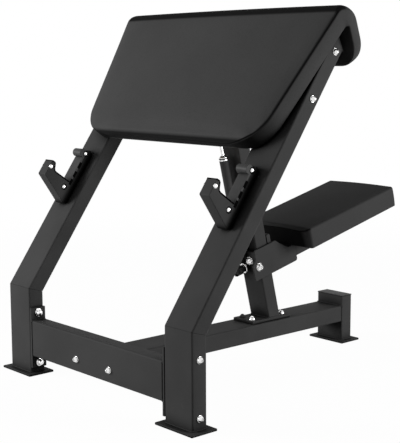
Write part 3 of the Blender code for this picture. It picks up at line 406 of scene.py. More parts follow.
def floor_finish(glow):
    """A pale floor that glows white to the eye, keeps a little of the shadow near the bench, and is
    darker for the light that it bounces."""
    finish = Finish("floor_finish")
    seen = shown_to_eye(finish)
    mottle = finish.noise(finish.place(), 3.0, 2.0)
    bounced = finish.mix(mottle, grey(0.28), grey(0.32))
    colour = finish.mix(seen, bounced, grey(0.95))
    lit = finish.node("ShaderNodeBsdfDiffuse", None, {"Color": colour})
    white = finish.node("ShaderNodeEmission", None, {"Color": WHITE, "Strength": 1.0})
    away = finish.node("ShaderNodeVectorMath", {"operation": "LENGTH"}, {0: finish.place()}, "Value")
    share = seen * (glow + (1.0 - glow) * finish.fade(away, FLOOR_WHITENS_FROM, FLOOR_WHITE_AT))
    both = finish.node("ShaderNodeMixShader", None, {0: share, 1: lit, 2: white})
    finish.node("ShaderNodeOutputMaterial", None, {"Surface": both})
    return finish.block


def make_floor(material):
    """A flat sheet just under the feet."""
    mesh = bpy.data.meshes.new("floor")
    corners = [(x * FLOOR_REACH, y * FLOOR_REACH, 0) for x, y in ((-1, -1), (1, -1), (1, 1), (-1, 1))]
    mesh.from_pydata(corners, [], [(0, 1, 2, 3)])
    mesh.materials.append(material)
    floor = in_scene("floor", mesh)
    floor.location.z = -GAP


# Making pieces

def built(name, bm, material):
    """Turn a mesh in the making into an object in one finish, smooth all over."""
    mesh = bpy.data.meshes.new(name)
    bm.to_mesh(mesh)
    bm.free()
    mesh.materials.append(material)
    mesh.shade_smooth()
    return in_scene(name, mesh)


def piece(name, bm, body, material, place=None):
    """Turn a mesh in the making into one piece that rides on a body."""
    if place is not None:
        bm.transform(place)
    bmesh.ops.recalc_face_normals(bm, faces=bm.faces)
    made = built(name, bm, material)
    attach(made, body)
    return made


def keep_sharp(made, degrees):
    """Edges steeper than this stay sharp in the shading."""
    made.data.set_sharp_from_angle(angle=radians(degrees))


def ease_edges(obj, width, limit=55):
    """Small rounds on the sharp edges, and flat faces that stay flat in their shading."""
    weld_points = obj.modifiers.new("weld", "WELD")
    weld_points.merge_threshold = 0.00001
    rounds = obj.modifiers.new("rounds", "BEVEL")
    rounds.width = width
    rounds.segments = 2
    rounds.limit_method = "ANGLE"
    rounds.angle_limit = radians(limit)
    shade = obj.modifiers.new("shade", "WEIGHTED_NORMAL")
    shade.weight = 100
    shade.keep_sharp = True


def add_mesh(target, source, place):
    """Move one mesh in the making to its place in another."""
    source.transform(place)
    mesh = bpy.data.meshes.new("moving")
    source.to_mesh(mesh)
    source.free()
    target.from_mesh(mesh)
    bpy.data.meshes.remove(mesh)


def bridge(bm, near, far):
    """A band of four-sided faces between two rings of as many points."""
    count = len(near)
    for step in range(count):
        after = (step + 1) % count
        bm.faces.new((near[step], near[after], far[after], far[step]))


def loft(bm, rings, closed=False):
    """Bands between rings that follow each other, in a loop or with a face at both ends."""
    for near, far in zip(rings, rings[1:]):
        bridge(bm, near, far)
    if closed:
        bridge(bm, rings[-1], rings[0])
    else:
        bm.faces.new(rings[0])
        bm.faces.new(rings[-1])


def spun(bm, rings, steps=24):
    """Rings of (radius, height) or (function of angle, height) round Z, closed at both ends."""
    rows = []
    for radius, height in rings:
        if radius == 0:
            rows.append([bm.verts.new((0, 0, height))])
            continue
        row = []
        for step in range(steps):
            angle = 2 * pi * step / steps
            reach = radius(angle) if callable(radius) else radius
            row.append(bm.verts.new((reach * cos(angle), reach * sin(angle), height)))
        rows.append(row)
    for near, far in zip(rows, rows[1:]):
        if len(near) == len(far):
            bridge(bm, near, far)
            continue
        for step in range(steps):
            after = (step + 1) % steps
            if len(near) == 1:
                bm.faces.new((near[0], far[step], far[after]))
            else:
                bm.faces.new((near[step], near[after], far[0]))


def hexagon(half_flats, corner=1.0):
    """Radius of a hexagon at an angle; corner below 1 trims its points."""
    def radius(angle):
        offset = (angle + pi / 6) % (pi / 3) - pi / 6
        return min(half_flats / cos(offset), half_flats / cos(pi / 6) * corner)
    return radius


# Bolts. A head is its radius and its height.

BOLT_RADIUS = 0.0055
PLAIN_HEAD = (0.0090, 0.0092)
CARRIAGE_HEAD = (0.0121, 0.0102)
PAINTED_HEAD = (0.0113, 0.0060)
WASHER = 0.0014
NUT_WASHER_RADIUS = 0.0108
NUT_HALF_FLATS = 0.0085
FLANGE_BOLT_OFFSET = 0.0695
JOINT_BOLT_X = 0.070
BASE_BOLT_X = 0.020
BASE_BOLT_EDGE = 0.017
BASE_BOLT_BITE = 0.003
CHEEK_BOLT_UP = 0.170
CHEEK_BOLT_GRIP = 0.021
BLOCK_BOLT_X = 0.0165
BLOCK_BOLT_UP = 0.187
BLOCK_BOLT_GRIP = 0.0114


def head_rings(radius, height):
    """Rings of a domed head with a hex socket and a washer under it, from the socket's floor out."""
    crown = GAP + height
    socket = radius * 0.36
    dome = radius * 0.90
    rings = [(0, crown - height * 0.55), (hexagon(socket * 0.96), crown - height * 0.50),
             (hexagon(socket), crown - 0.0005), (hexagon(socket * 1.10), crown)]
    for share in (0.70, 0.86, 0.96, 1.0):
        fall = 1 - sqrt(1 - (share * 0.94) ** 2)
        rings.append((dome * share, crown - (height - WASHER) * 0.80 * fall / 0.66))
    rings += [(dome, GAP + WASHER), (radius - 0.0003, GAP + WASHER), (radius, GAP + WASHER * 0.7),
              (radius, GAP), (BOLT_RADIUS, GAP)]
    return rings


def nut_rings(low):
    """Rings of a washer and a domed nut that start at a height and go down."""
    flats = NUT_HALF_FLATS
    rings = [(BOLT_RADIUS, low), (NUT_WASHER_RADIUS - 0.0004, low), (NUT_WASHER_RADIUS, low - WASHER * 0.3),
             (NUT_WASHER_RADIUS, low - WASHER), (flats, low - WASHER),
             (hexagon(flats, 0.96), low - WASHER - 0.0005), (hexagon(flats, 0.96), low - 0.0066),
             (flats * 0.98, low - 0.0072)]
    for step in range(7):
        angle = pi / 2 * step / 6
        rings.append((flats * 0.92 * cos(angle) if step < 6 else 0, low - 0.0074 - 0.0052 * sin(angle)))
    return rings


def bolt(name, place, body, material, grip, nut=True, head=PLAIN_HEAD):
    """One bolt, with a domed nut or ending in its hole. It stands for the CAD bolt of its name, where
    there is one."""
    rings = head_rings(*head)
    if nut:
        rings += nut_rings(-grip - GAP)
    else:
        rings += [(BOLT_RADIUS, -grip), (0, -grip)]
    bm = bmesh.new()
    spun(bm, rings)
    cad_node = name in nodes
    label = name.replace("_bolt", "_screw") if cad_node else name
    made = piece(label, bm, body, material, place)
    keep_sharp(made, 38)
    if cad_node:
        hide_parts(name)


def make_bolts(plating, painted):
    """Every screw, bolt and nut. The carriage's left front screw and the left bolts of the column's
    base plate are painted over, as in the photograph."""
    for side, label in SIDES:
        outward = tilt(side * pi / 2, "Y")
        upright_grip = UPRIGHT_WIDTH + GAP + FLANGE
        beam_grip = TUBE_DEPTH + GAP + FLANGE
        base_grip = FLANGE + GAP + BASE_BOLT_BITE
        look, slot = (painted, "black_powder_coat") if label == "left" else (plating, "chrome")
        block_head = PAINTED_HEAD if label == "left" else CARRIAGE_HEAD

        for level, end in (("low", -1), ("high", 1)):
            rise = end * FLANGE_BOLT_OFFSET
            beams = (("front_beam", BENCH, FRONT_BEAM_Z), ("upper_beam", ON_SLOPE, UPPER_BEAM_S))
            for beam, ground, middle in beams:
                spot = move(side * HALF_WIDTH, TUBE_DEPTH / 2, middle + rise)
                bolt(f"{beam}_bolt_{label}_{level}", ground @ spot @ outward, "frame", plating, upright_grip)

        spot = move(side * JOINT_BOLT_X, 0, SPINE_TOP - SPINE_HEIGHT / 2)
        bolt(f"spine_joint_plate_bolt_{label}", BENCH @ spot @ FACING_FRONT, "frame", plating, beam_grip)
        spot = move(side * JOINT_BOLT_X, 0, UPPER_BEAM_S)
        bolt(f"column_joint_bolt_{label}", ON_SLOPE @ spot @ FACING_FRONT, "frame", plating, beam_grip)

        ends = (("front", BASE_PLATE_FRONT + BASE_BOLT_EDGE), ("rear", BASE_PLATE_REAR - BASE_BOLT_EDGE))
        for end, y in ends:
            spot = move(side * BASE_BOLT_X, y, SPINE_TOP + GAP + FLANGE)
            bolt(f"column_base_bolt_{end}_{label}", BENCH @ spot, "frame", look, base_grip)

        spot = move(side * CHEEK_OUTER_X, -BLOCK_MIDDLE, CHEEK_BOLT_UP)
        bolt(f"carriage_side_bolt_{label}", ON_COLUMN @ spot @ outward, "seat_carriage", plating,
             CHEEK_BOLT_GRIP, False, CARRIAGE_HEAD)
        spot = move(side * BLOCK_BOLT_X, -BLOCK_FRONT, BLOCK_BOLT_UP)
        bolt(f"carriage_front_bolt_{label}", ON_COLUMN @ spot @ FACING_FRONT, "seat_carriage", look,
             BLOCK_BOLT_GRIP, False, block_head)


# Cushions. The points of a cross section are counted in levels, from its inner face up its side and
# over its outer edge to the rim of its top.

INNER_STEPS = 3
SIDE_STEPS = 5
OUTER_STEPS = 6
RIM = (0.0035, 0.0095)
TOP_LEVEL = INNER_STEPS + SIDE_STEPS + OUTER_STEPS + len(RIM)
SEAM_LEVEL = INNER_STEPS + SIDE_STEPS + OUTER_STEPS // 2
SIDE_LEVEL = INNER_STEPS + SIDE_STEPS + 1
SEAM_SHARES = {SEAM_LEVEL - 2: 0.15, SEAM_LEVEL - 1: 0.7, SEAM_LEVEL: 1.0, SEAM_LEVEL + 1: 0.7,
               SEAM_LEVEL + 2: 0.15}
SIDE_BULGE = 0.001
HELD_SHADE = 0.5
END_MARGIN = 0.008
SWELL_FRAMES = 20


def arc(centre, radius, start, stop, steps):
    points = []
    for step in range(steps + 1):
        angle = start + (stop - start) * step / steps
        points.append((centre[0] + radius * cos(angle), centre[1] + radius * sin(angle)))
    return points


def fillet(before, corner, after, radius, steps):
    """The arc that rounds one corner of a line."""
    corner = Vector(corner)
    back = (Vector(before) - corner).normalized()
    ahead = (Vector(after) - corner).normalized()
    half = back.angle(ahead) / 2
    centre = corner + (back + ahead).normalized() * radius / sin(half)
    first = corner + back * radius / tan(half) - centre
    last = corner + ahead * radius / tan(half) - centre
    start = atan2(first.y, first.x)
    return [Vector(point) for point in arc(centre, radius, start, start - first.angle_signed(last), steps)]


def corner_loss(distance, radius):
    """How far a round plan corner draws the edge in, at a distance from the end."""
    short = radius - min(max(distance, 0.0), radius)
    return radius - sqrt(radius ** 2 - short ** 2)


@dataclass
class Row:
    """One cross section of a cushion: an inner and an outer side-view point, half its width, how far
    its outline is drawn in, how high its top bulges, how much of the seam shows there, how much
    softer its outer edge is, and how much painted shade its top and its sides get."""

    inner: Vector
    outer: Vector
    half: float
    inset: float
    crown: float
    seam: float = 1.0
    soft: float = 1.0
    shade: float = 0.0
    under: float = 0.0

    def levels(self, near, edge):
        """Points (x, height) up one side, from the inner face to the outer one."""
        low = self.inset
        high = (self.outer - self.inner).length - self.inset
        half = self.half - self.inset
        near, edge = [min(radius, (high - low) * 0.46) for radius in (near, edge * self.soft)]
        points = arc((half - near, low + near), near, -pi / 2, 0, INNER_STEPS)
        for step in range(1, SIDE_STEPS):
            share = step / SIDE_STEPS
            height = low + near + (high - edge - low - near) * share
            points.append((half + SIDE_BULGE * sin(pi * share), height))
        points += arc((half - edge, high - edge), edge, 0, pi / 2, OUTER_STEPS)
        points += [(half - edge - distance, high) for distance in RIM]
        return points

    def at(self, x, height):
        spot = self.inner + (self.outer - self.inner).normalized() * height
        return (x, spot.x, spot.y)


class Skin:
    """A cushion's closed skin of four-sided faces over its rows, with each point's share of the seam,
    how much painted shade each point gets, and the points that stay where they are when the cushion swells."""

    def __init__(self, rows, edges, across, end_shades):
        self.bm = bmesh.new()
        self.seam = {}
        self.dark = {}
        self.fixed = set()
        self.across = across
        near, edge = edges
        rings = [self.ring(row, row.levels(near, edge)) for row in rows]
        for near_ring, far_ring in zip(rings, rings[1:]):
            bridge(self.bm, near_ring, far_ring)
        self.close(rows[0], rings[0], end_shades[0])
        self.close(rows[-1], rings[-1], end_shades[1])
        bmesh.ops.recalc_face_normals(self.bm, faces=self.bm.faces)

    def side_point(self, row, level, x, height):
        point = self.bm.verts.new(row.at(x, height))
        self.seam[point] = SEAM_SHARES.get(level, 0.0) * row.seam
        # Painted shade: the row's top shade above its sides, its under shade on its sides.
        self.dark[point] = row.shade if level > SIDE_LEVEL else row.under
        if level <= INNER_STEPS or row.shade > HELD_SHADE:
            self.fixed.add(point)
        return point

    def ring(self, row, side):
        """The points round one cross section: up one side, over the top, down the other, and back."""
        points = [self.side_point(row, level, x, height) for level, (x, height) in enumerate(side)]
        top_x, top = side[-1]
        for step in range(1, self.across):
            x = top_x * (1 - 2 * step / self.across)
            point = self.bm.verts.new(row.at(x, top + row.crown * (1 - (x / top_x) ** 2)))
            self.dark[point] = row.shade
            if row.shade > HELD_SHADE:
                self.fixed.add(point)
            points.append(point)
        for level, (x, height) in reversed(list(enumerate(side))):
            points.append(self.side_point(row, level, -x, height))
        low_x, low = side[0]
        for step in range(1, self.across):
            point = self.bm.verts.new(row.at(low_x * (2 * step / self.across - 1), low))
            self.fixed.add(point)
            points.append(point)
        return points

    def close(self, row, ring, end_shade):
        """A grid of faces over one end of the cushion."""
        across = self.across
        grid = [[ring[level]] for level in range(TOP_LEVEL + 1)]
        for level in range(TOP_LEVEL + 1):
            right = ring[level]
            left = ring[TOP_LEVEL + across + (TOP_LEVEL - level)]
            for step in range(1, across):
                above = ring[TOP_LEVEL + step]
                below = ring[2 * TOP_LEVEL + 2 * across - step]
                if level == 0:
                    grid[level].append(below)
                elif level == TOP_LEVEL:
                    grid[level].append(above)
                else:
                    share = (right.co - ring[0].co).dot(above.co - below.co)
                    share /= (above.co - below.co).length_squared
                    share = min(max(share, END_MARGIN * level), 1 - END_MARGIN * (TOP_LEVEL - level))
                    spot = self.bm.verts.new(below.co.lerp(above.co, share))
                    grid[level].append(spot)
                    self.seam[spot] = SEAM_SHARES.get(level, 0.0) * row.seam
                    # Painted shade on the end's face below the seam.
                    self.dark[spot] = max(row.shade, end_shade if level < SEAM_LEVEL else 0.0)
            grid[level].append(left)
        for lower, upper in zip(grid, grid[1:]):
            for step in range(across):
                self.bm.faces.new((lower[step], lower[step + 1], upper[step + 1], upper[step]))


def swell(obj, pinned, cap):
    """Blow the cover up a little between its seams with the cloth solver, and keep the result. No
    point moves much further than cap."""
    group = obj.vertex_groups.new(name="held")
    group.add(pinned, 1.0, "REPLACE")
    cloth = obj.modifiers.new("cloth", "CLOTH")
    cloth.settings.quality = 6
    cloth.settings.mass = 0.3
    cloth.settings.tension_stiffness = 20
    cloth.settings.compression_stiffness = 20
    cloth.settings.bending_stiffness = 2.0
    cloth.settings.use_pressure = True
    cloth.settings.uniform_pressure_force = 4.0
    cloth.settings.vertex_group_mass = group.name
    cloth.settings.effector_weights.gravity = 0
    cloth.point_cache.frame_start = 1
    cloth.point_cache.frame_end = SWELL_FRAMES
    scene = bpy.context.scene
    for step in range(1, SWELL_FRAMES + 1):
        scene.frame_set(step)
    shape = obj.evaluated_get(bpy.context.evaluated_depsgraph_get())
    moved = [vertex.co.copy() for vertex in shape.data.vertices]
    obj.modifiers.remove(cloth)
    scene.frame_set(1)
    for vertex, spot in zip(obj.data.vertices, moved):
        shift = spot - vertex.co
        far = shift.length
        if far > 1e-7:
            vertex.co += shift * (cap * tanh(far / cap) / far)
    obj.vertex_groups.remove(group)
    obj.data.update()


def cushion(name, node, body, skin, place, material, cap, groove):
    """A sewn cushion: its skin, a simulated swell, and a groove along its seam. The seam's darkening and
    the painted shade go into the attribute that the vinyl reads."""
    bm = skin.bm
    bm.transform(place)
    bm.verts.index_update()
    depths = {vertex.index: max(0.0, share * 2 - 1) for vertex, share in skin.seam.items()}
    seam_and_painted_shade = {vertex.index: max(share, skin.seam.get(vertex, 0.0)) for vertex, share in skin.dark.items()}
    seam_line = {vertex for vertex, share in skin.seam.items() if share == 1.0}
    held = [vertex.index for vertex in skin.fixed | seam_line]
    made = built(name, bm, material)
    mesh = made.data
    swell(made, held, cap)
    normals = [vertex.normal.copy() for vertex in mesh.vertices]
    attribute = mesh.attributes.new("seam", "FLOAT", "POINT")
    for index, depth in depths.items():
        mesh.vertices[index].co -= normals[index] * groove * depth
    for index, tone in seam_and_painted_shade.items():
        attribute.data[index].value = tone
    smooth = made.modifiers.new("smooth", "SUBSURF")
    smooth.levels = 2
    smooth.render_levels = 2
    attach(made, body)
    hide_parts(node)


# The arm pad, measured up the slope and out from the uprights' front faces

UPRIGHT_LENGTH = 0.8296
PAD_BOTTOM = 0.4755
PAD_FRONT = 0.0535
PAD_BACK = 0.005
PAD_HALF_WIDTH = 0.349
PAD_FLARE = 0.177
PAD_CROWN = 0.002
PAD_EDGES = (0.004, 0.009)
PAD_PLAN_CORNER = 0.075
PAD_DROP_PLAN_CORNER = 0.066
PAD_END_ROLL = 0.014
PAD_ROLL_STEPS = 5
PAD_DROP_ANGLE = radians(25.5)
PAD_HOLLOW_TOP_Z = BEND_HEIGHT + UPRIGHT_LENGTH * cos(SLOPE) + 0.0202
PAD_TOP_Z = PAD_HOLLOW_TOP_Z + 0.0452
PAD_DROP_BOTTOM_Z = PAD_HOLLOW_TOP_Z - 0.0910
PAD_HOLLOW_RADIUS = 0.006
PAD_FLAT_LENGTH = 0.050
PAD_FRONT_FILLET = 0.034
PAD_FRONT_FILLET_STEPS = 6
PAD_REAR_FILLET = 0.060
PAD_REAR_FILLET_STEPS = 10
PAD_DROP_SOFTNESS = 1.9

# Distances of its rows from the front end, between the straight rows, and from the drop's end
PAD_CORNER_ROWS = (0.021, 0.029, 0.039, 0.051, 0.064)
PAD_ROW_STEP = 0.016
PAD_ROW_BEFORE_FILLET = 0.007
PAD_DROP_ROWS = (0.088, 0.074, 0.062, 0.050, 0.039, 0.029, 0.021)

# In how many rows of the top the seam ends, the edge softens, and the painted dark band lasts and fades
PAD_SEAM_ROWS = 8
PAD_SOFTENING_ROWS = 4
PAD_BAND_ROWS = 6
PAD_BAND_FADE_ROWS = 5

# How much painted shade its top band, the roll at its front end and its sides get
PAD_TOP_SHADE = 0.90
PAD_ROLL_SHADES = (0.78, 0.82, 0.88, 0.40, 0.0, 0.0)
PAD_UNDER_SHADE = 0.93
PAD_UNDER_REACH = 0.118
PAD_SIDE_SHADE = 0.14
PAD_END_SHADES = (0.8, 0.0)


def on_slope(y, z):
    """A side-view point of the bench as (depth, height) in the slope's frame."""
    rise = z - BEND_HEIGHT
    return Vector((y * cos(SLOPE) - rise * sin(SLOPE), y * sin(SLOPE) + rise * cos(SLOPE)))


def pad_row(inner, outer, loss=0.0, inset=0.0, crown=PAD_CROWN, under=PAD_SIDE_SHADE, **look):
    """A cross section of the pad, as wide as the pad is at that height up the slope."""
    half = PAD_HALF_WIDTH + PAD_FLARE * ((inner.y + outer.y) / 2 - PAD_BOTTOM) - loss
    return Row(inner, outer, half, inset, crown, under=under, **look)


def face_row(distance, inset=0.0, crown=PAD_CROWN, **look):
    """A cross section of the sloping face, at a distance from the pad's front end."""
    inner = Vector((-PAD_BACK, PAD_BOTTOM + distance))
    outer = Vector((-PAD_FRONT, PAD_BOTTOM + distance))
    return pad_row(inner, outer, corner_loss(distance, PAD_PLAN_CORNER), inset, crown, **look)


def pad_face_rows(length):
    """The rows of the sloping face, from its rolled front end up to where the top begins."""
    rows = []
    for step in range(PAD_ROLL_STEPS + 1):
        angle = pi / 2 * step / PAD_ROLL_STEPS
        # Painted shade on the front roll and on the sides near it.
        rows.append(face_row(PAD_END_ROLL * (1 - cos(angle)), PAD_END_ROLL * (1 - sin(angle)),
                             PAD_CROWN * step / PAD_ROLL_STEPS, shade=PAD_ROLL_SHADES[step],
                             under=PAD_UNDER_SHADE))
    straight = length - PAD_PLAN_CORNER
    count = ceil(straight / PAD_ROW_STEP)
    distances = list(PAD_CORNER_ROWS)
    distances += [PAD_PLAN_CORNER + straight * step / count for step in range(count + 1)]
    for distance in distances:
        # Painted shade on the sides, darker towards the low front corners.
        under = max(PAD_SIDE_SHADE, PAD_UNDER_SHADE * (1 - distance / PAD_UNDER_REACH))
        rows.append(face_row(distance, under=under))
    return rows


def pad_rows():
    """Cross sections of the arm pad from its low front edge, over the top, to the end of the drop."""
    drop = on_slope(sin(PAD_DROP_ANGLE), BEND_HEIGHT - cos(PAD_DROP_ANGLE)).normalized()
    down_front = Vector((0, -1))
    rise = PAD_HOLLOW_TOP_Z - BEND_HEIGHT
    apex = on_slope((-PAD_BACK + rise * sin(SLOPE)) / cos(SLOPE), PAD_HOLLOW_TOP_Z)
    half = down_front.angle(drop) / 2
    centre = apex + (down_front + drop).normalized() * PAD_HOLLOW_RADIUS / sin(half)
    rows = pad_face_rows(centre.y - PAD_BOTTOM)

    def hollow(outer):
        return centre + (outer - centre).normalized() * PAD_HOLLOW_RADIUS

    flat_y = (-PAD_FRONT + (PAD_TOP_Z - BEND_HEIGHT) * sin(SLOPE)) / cos(SLOPE)
    drop_y = flat_y + PAD_FLAT_LENGTH
    first = on_slope(flat_y, PAD_TOP_Z)
    second = on_slope(drop_y, PAD_TOP_Z)
    fall = PAD_TOP_Z - PAD_DROP_BOTTOM_Z
    end = on_slope(drop_y + fall * tan(PAD_DROP_ANGLE), PAD_DROP_BOTTOM_Z)
    line = fillet((-PAD_FRONT, PAD_BOTTOM), first, second, PAD_FRONT_FILLET, PAD_FRONT_FILLET_STEPS)
    line += fillet(first, second, end, PAD_REAR_FILLET, PAD_REAR_FILLET_STEPS)
    before = line[0] + down_front * PAD_ROW_BEFORE_FILLET
    rows.append(pad_row(hollow(before), before))
    for index, point in enumerate(line):
        seam = max(0.0, 1 - index / PAD_SEAM_ROWS)
        soft = 1 + (PAD_DROP_SOFTNESS - 1) * min(1.0, index / PAD_SOFTENING_ROWS)
        # Painted shade on the top band, fading out past its rows.
        past_band = max(0, index - PAD_BAND_ROWS) / PAD_BAND_FADE_ROWS
        shade = PAD_TOP_SHADE * max(0.0, 1 - past_band)
        rows.append(pad_row(hollow(point), point, seam=seam, soft=soft, shade=shade))

    outward = Vector((drop.y, -drop.x))
    if outward.x < 0:
        outward = -outward
    inner_end = centre + outward * PAD_HOLLOW_RADIUS
    inner_end += drop * (end - inner_end).dot(drop)
    length = (inner_end - centre).dot(drop)
    backs = [(back, 0.0, PAD_CROWN) for back in PAD_DROP_ROWS if back < length * 0.8]
    for step in range(PAD_ROLL_STEPS + 1):
        angle = pi / 2 * step / PAD_ROLL_STEPS
        backs.append((PAD_END_ROLL * (1 - sin(angle)), PAD_END_ROLL * (1 - cos(angle)), 0.0))
    for back, inset, crown in backs:
        loss = corner_loss(back, PAD_DROP_PLAN_CORNER)
        rows.append(pad_row(inner_end - drop * back, end - drop * back, loss, inset, crown,
                            seam=0.0, soft=PAD_DROP_SOFTNESS))
    return rows


# The seat, measured back from the column's front face and up along the column

SEAT_HALF_WIDTH = 0.1275
SEAT_FRONT = 0.1285
SEAT_LENGTH = 0.385
SEAT_LOW = 0.1843
SEAT_HIGH = 0.2455
SEAT_CROWN = 0.002
SEAT_EDGES = (0.003, 0.007)
SEAT_CORNER = 0.009
SEAT_ROLL = 0.007
SEAT_ROLL_STEPS = 4
SEAT_END_ROWS = (SEAT_CORNER, 0.015, 0.026)
SEAT_STRAIGHT_STEPS = 26
# Painted shade on the seat's top and on the face of its front end.
SEAT_TOP_SHADE = 0.18
SEAT_END_SHADES = (0.92, 0.0)
SEAT_SEAM = 0.25


def seat_rows():
    """Cross sections of the seat from its front to its rear."""
    ends = []
    for step in range(SEAT_ROLL_STEPS + 1):
        angle = pi / 2 * step / SEAT_ROLL_STEPS
        ends.append((SEAT_ROLL * (1 - cos(angle)), SEAT_ROLL * (1 - sin(angle))))
    ends += [(along, 0.0) for along in SEAT_END_ROWS]
    margin = SEAT_END_ROWS[-1]
    spread = SEAT_LENGTH - 2 * margin
    places = [(along, along, inset) for along, inset in ends]
    places += [(margin + spread * step / SEAT_STRAIGHT_STEPS, margin, 0.0)
               for step in range(1, SEAT_STRAIGHT_STEPS)]
    places += [(SEAT_LENGTH - along, along, inset) for along, inset in reversed(ends)]
    rows = []
    for along, from_end, inset in places:
        half = SEAT_HALF_WIDTH - corner_loss(from_end, SEAT_CORNER)
        y = SEAT_FRONT + along
        seam = 1.0 if along < SEAT_CORNER else SEAT_SEAM
        inner = Vector((y, SEAT_LOW - inset * 0.6))
        rows.append(Row(inner, Vector((y, SEAT_HIGH)), half, inset, SEAT_CROWN, seam, shade=SEAT_TOP_SHADE))
    return rows


# Bar holders. Places are (out from the uprights' sloping fronts, up the slope).

HOLDER_HALF_WIDTH = 0.0175
HOLDER_TIP_PIN = (0.1021, 0.3239)
HOLDER_ARM_PINS = ((0.0343, 0.2991), (0.0222, 0.4146))
HOLDER_PIN_RINGS = [(0, 0.0030), (0.0030, 0.0028), (0.0050, 0.0019), (0.0062, 0.0006), (0.0064, -0.001),
                    (0, -0.001)]
HOLDER_SHADE_RINGS = [(0, 0.0006), (0.0082, 0.0006), (0.0086, 0.0002), (0.0086, -0.001), (0, -0.001)]
HOLDER_TAB_SIZE = (0.0014, 0.0080, 0.0180)
HOLDER_TAB_OUT = 0.0224
HOLDER_TABS_UP = (0.376, 0.347, 0.322)
LINING_LINE = ((0.1075, 0.3407), (0.0985, 0.3413), (0.0945, 0.3385), (0.0888, 0.3260), (0.0850, 0.3213),
               (0.0790, 0.3202), (0.0275, 0.3202))
LINING_HALF_WIDTH = 0.0178
LINING_LET_IN = 0.0034
LINING_PROUD = 0.0008


def make_holder_pins(plating, rubber):
    """The round pin ends in the bar holders' sides, with black rings round the two in each arm that stand in
    for painted shade round them, and the tabs that hold the liner."""
    for side, label in SIDES:
        pins = bmesh.new()
        tabs = bmesh.new()
        for face in (-1, 1):
            outward = tilt(face * pi / 2, "Y")
            x = side * UPRIGHT_X + face * HOLDER_HALF_WIDTH
            for out, s in (HOLDER_TIP_PIN, *HOLDER_ARM_PINS):
                spot = ON_SLOPE @ move(x, -out, s) @ outward
                head = bmesh.new()
                spun(head, HOLDER_PIN_RINGS, 20)
                add_mesh(pins, head, spot)
                # Black rings that stand in for painted shade round the arm pins.
                if (out, s) in HOLDER_ARM_PINS:
                    washer = bmesh.new()
                    spun(washer, HOLDER_SHADE_RINGS, 28)
                    add_mesh(tabs, washer, spot)
            for s in HOLDER_TABS_UP:
                tab = bmesh.new()
                bmesh.ops.create_cube(tab, size=1.0, matrix=Matrix.Diagonal((*HOLDER_TAB_SIZE, 1)))
                add_mesh(tabs, tab, ON_SLOPE @ move(x, -HOLDER_TAB_OUT, s))
        made = piece(f"bar_holder_pins_{label}", pins, "frame", plating)
        keep_sharp(made, 50)
        made = piece(f"bar_holder_tabs_{label}", tabs, "frame", rubber)
        ease_edges(made, 0.0003)


def make_holder_linings(rubber):
    """The thin dark lining let into each bar holder's tip and down into its slot."""
    for side, label in SIDES:
        bm = bmesh.new()
        sections = []
        for index, corner in enumerate(LINING_LINE):
            before = Vector(LINING_LINE[max(index - 1, 0)])
            after = Vector(LINING_LINE[min(index + 1, len(LINING_LINE) - 1)])
            along = (after - before).normalized()
            upward = Vector((-along.y, along.x))
            if upward.y < 0:
                upward = -upward
            low = Vector(corner) - upward * LINING_LET_IN
            high = Vector(corner) + upward * LINING_PROUD
            sections.append([bm.verts.new((end * LINING_HALF_WIDTH, -spot.x, spot.y)) for end, spot in
                             ((-1, low), (1, low), (1, high), (-1, high))])
        loft(bm, sections)
        place = ON_SLOPE @ move(side * UPRIGHT_X, 0, 0)
        made = piece(f"bar_holder_lining_{label}", bm, "frame", rubber, place)
        ease_edges(made, 0.0004, limit=40)


# Pull pin and strut

PIN_UP = 0.168
PIN_RING = 0.0118
PIN_KNOB = PIN_RING + 0.0052
KNOB_FLUTES = 12
STRUT_AHEAD = 0.0265


def make_pull_pin(plating, knob_finish):
    """The pull pin: a fluted knob, a bright ring, and the pin that runs into the column."""
    place = ON_COLUMN @ move(0, -BLOCK_FRONT, PIN_UP) @ FACING_FRONT

    def fluted(reach, depth):
        return lambda angle: reach - depth * (0.5 + 0.5 * cos(angle * KNOB_FLUTES))

    profile = [(0, 0), (0.0092, 0), (0.0098, 0.0008), (0.0100, 0.0026),
               (fluted(0.0115, 0.0004), 0.0040), (fluted(0.0116, 0.0011), 0.0058),
               (fluted(0.0116, 0.0011), 0.0190), (fluted(0.0113, 0.0006), 0.0212),
               (0.0100, 0.0232), (0.0078, 0.0240), (0, 0.0240)]
    knob = bmesh.new()
    spun(knob, [(radius, PIN_KNOB + height) for radius, height in profile], 72)
    made = piece("pull_pin_knob", knob, "pin", knob_finish, place)
    keep_sharp(made, 60)
    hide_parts("pull_pin")
    shank = bmesh.new()
    spun(shank, [(0, PIN_KNOB + 0.001), (0.0090, PIN_KNOB + 0.001), (0.0090, PIN_KNOB), (0.0134, PIN_KNOB),
                 (0.0144, PIN_KNOB - 0.0010), (0.0144, PIN_RING + 0.0010), (0.0134, PIN_RING),
                 (0.0060, PIN_RING), (0.0060, -0.0189), (0.0050, -0.0199), (0, -0.0199)], 36)
    made = piece("pull_pin_shank", shank, "pin", plating, place)
    keep_sharp(made, 40)


def make_strut_collar(plating, dark):
    """The bright gland at the top of the strut's cylinder, with its wiper."""
    place = ON_COLUMN @ move(0, -STRUT_AHEAD, 0)
    gland = bmesh.new()
    spun(gland, [(0.0049, 0.4995), (0.0098, 0.4995), (0.0113, 0.4982), (0.0113, 0.4962), (0.0104, 0.4954),
                 (0.0104, 0.4936), (0.0128, 0.4928), (0.0128, 0.4890), (0.0118, 0.4882)], 32)
    made = piece("strut_gland", gland, "seat_carriage", plating, place)
    keep_sharp(made, 40)
    wiper = bmesh.new()
    spun(wiper, [(0.0048, 0.4985), (0.0048, 0.5020), (0.0064, 0.5014), (0.0078, 0.5000),
                 (0.0080, 0.4985)], 32)
    piece("strut_wiper", wiper, "seat_carriage", dark, place)


# Welds

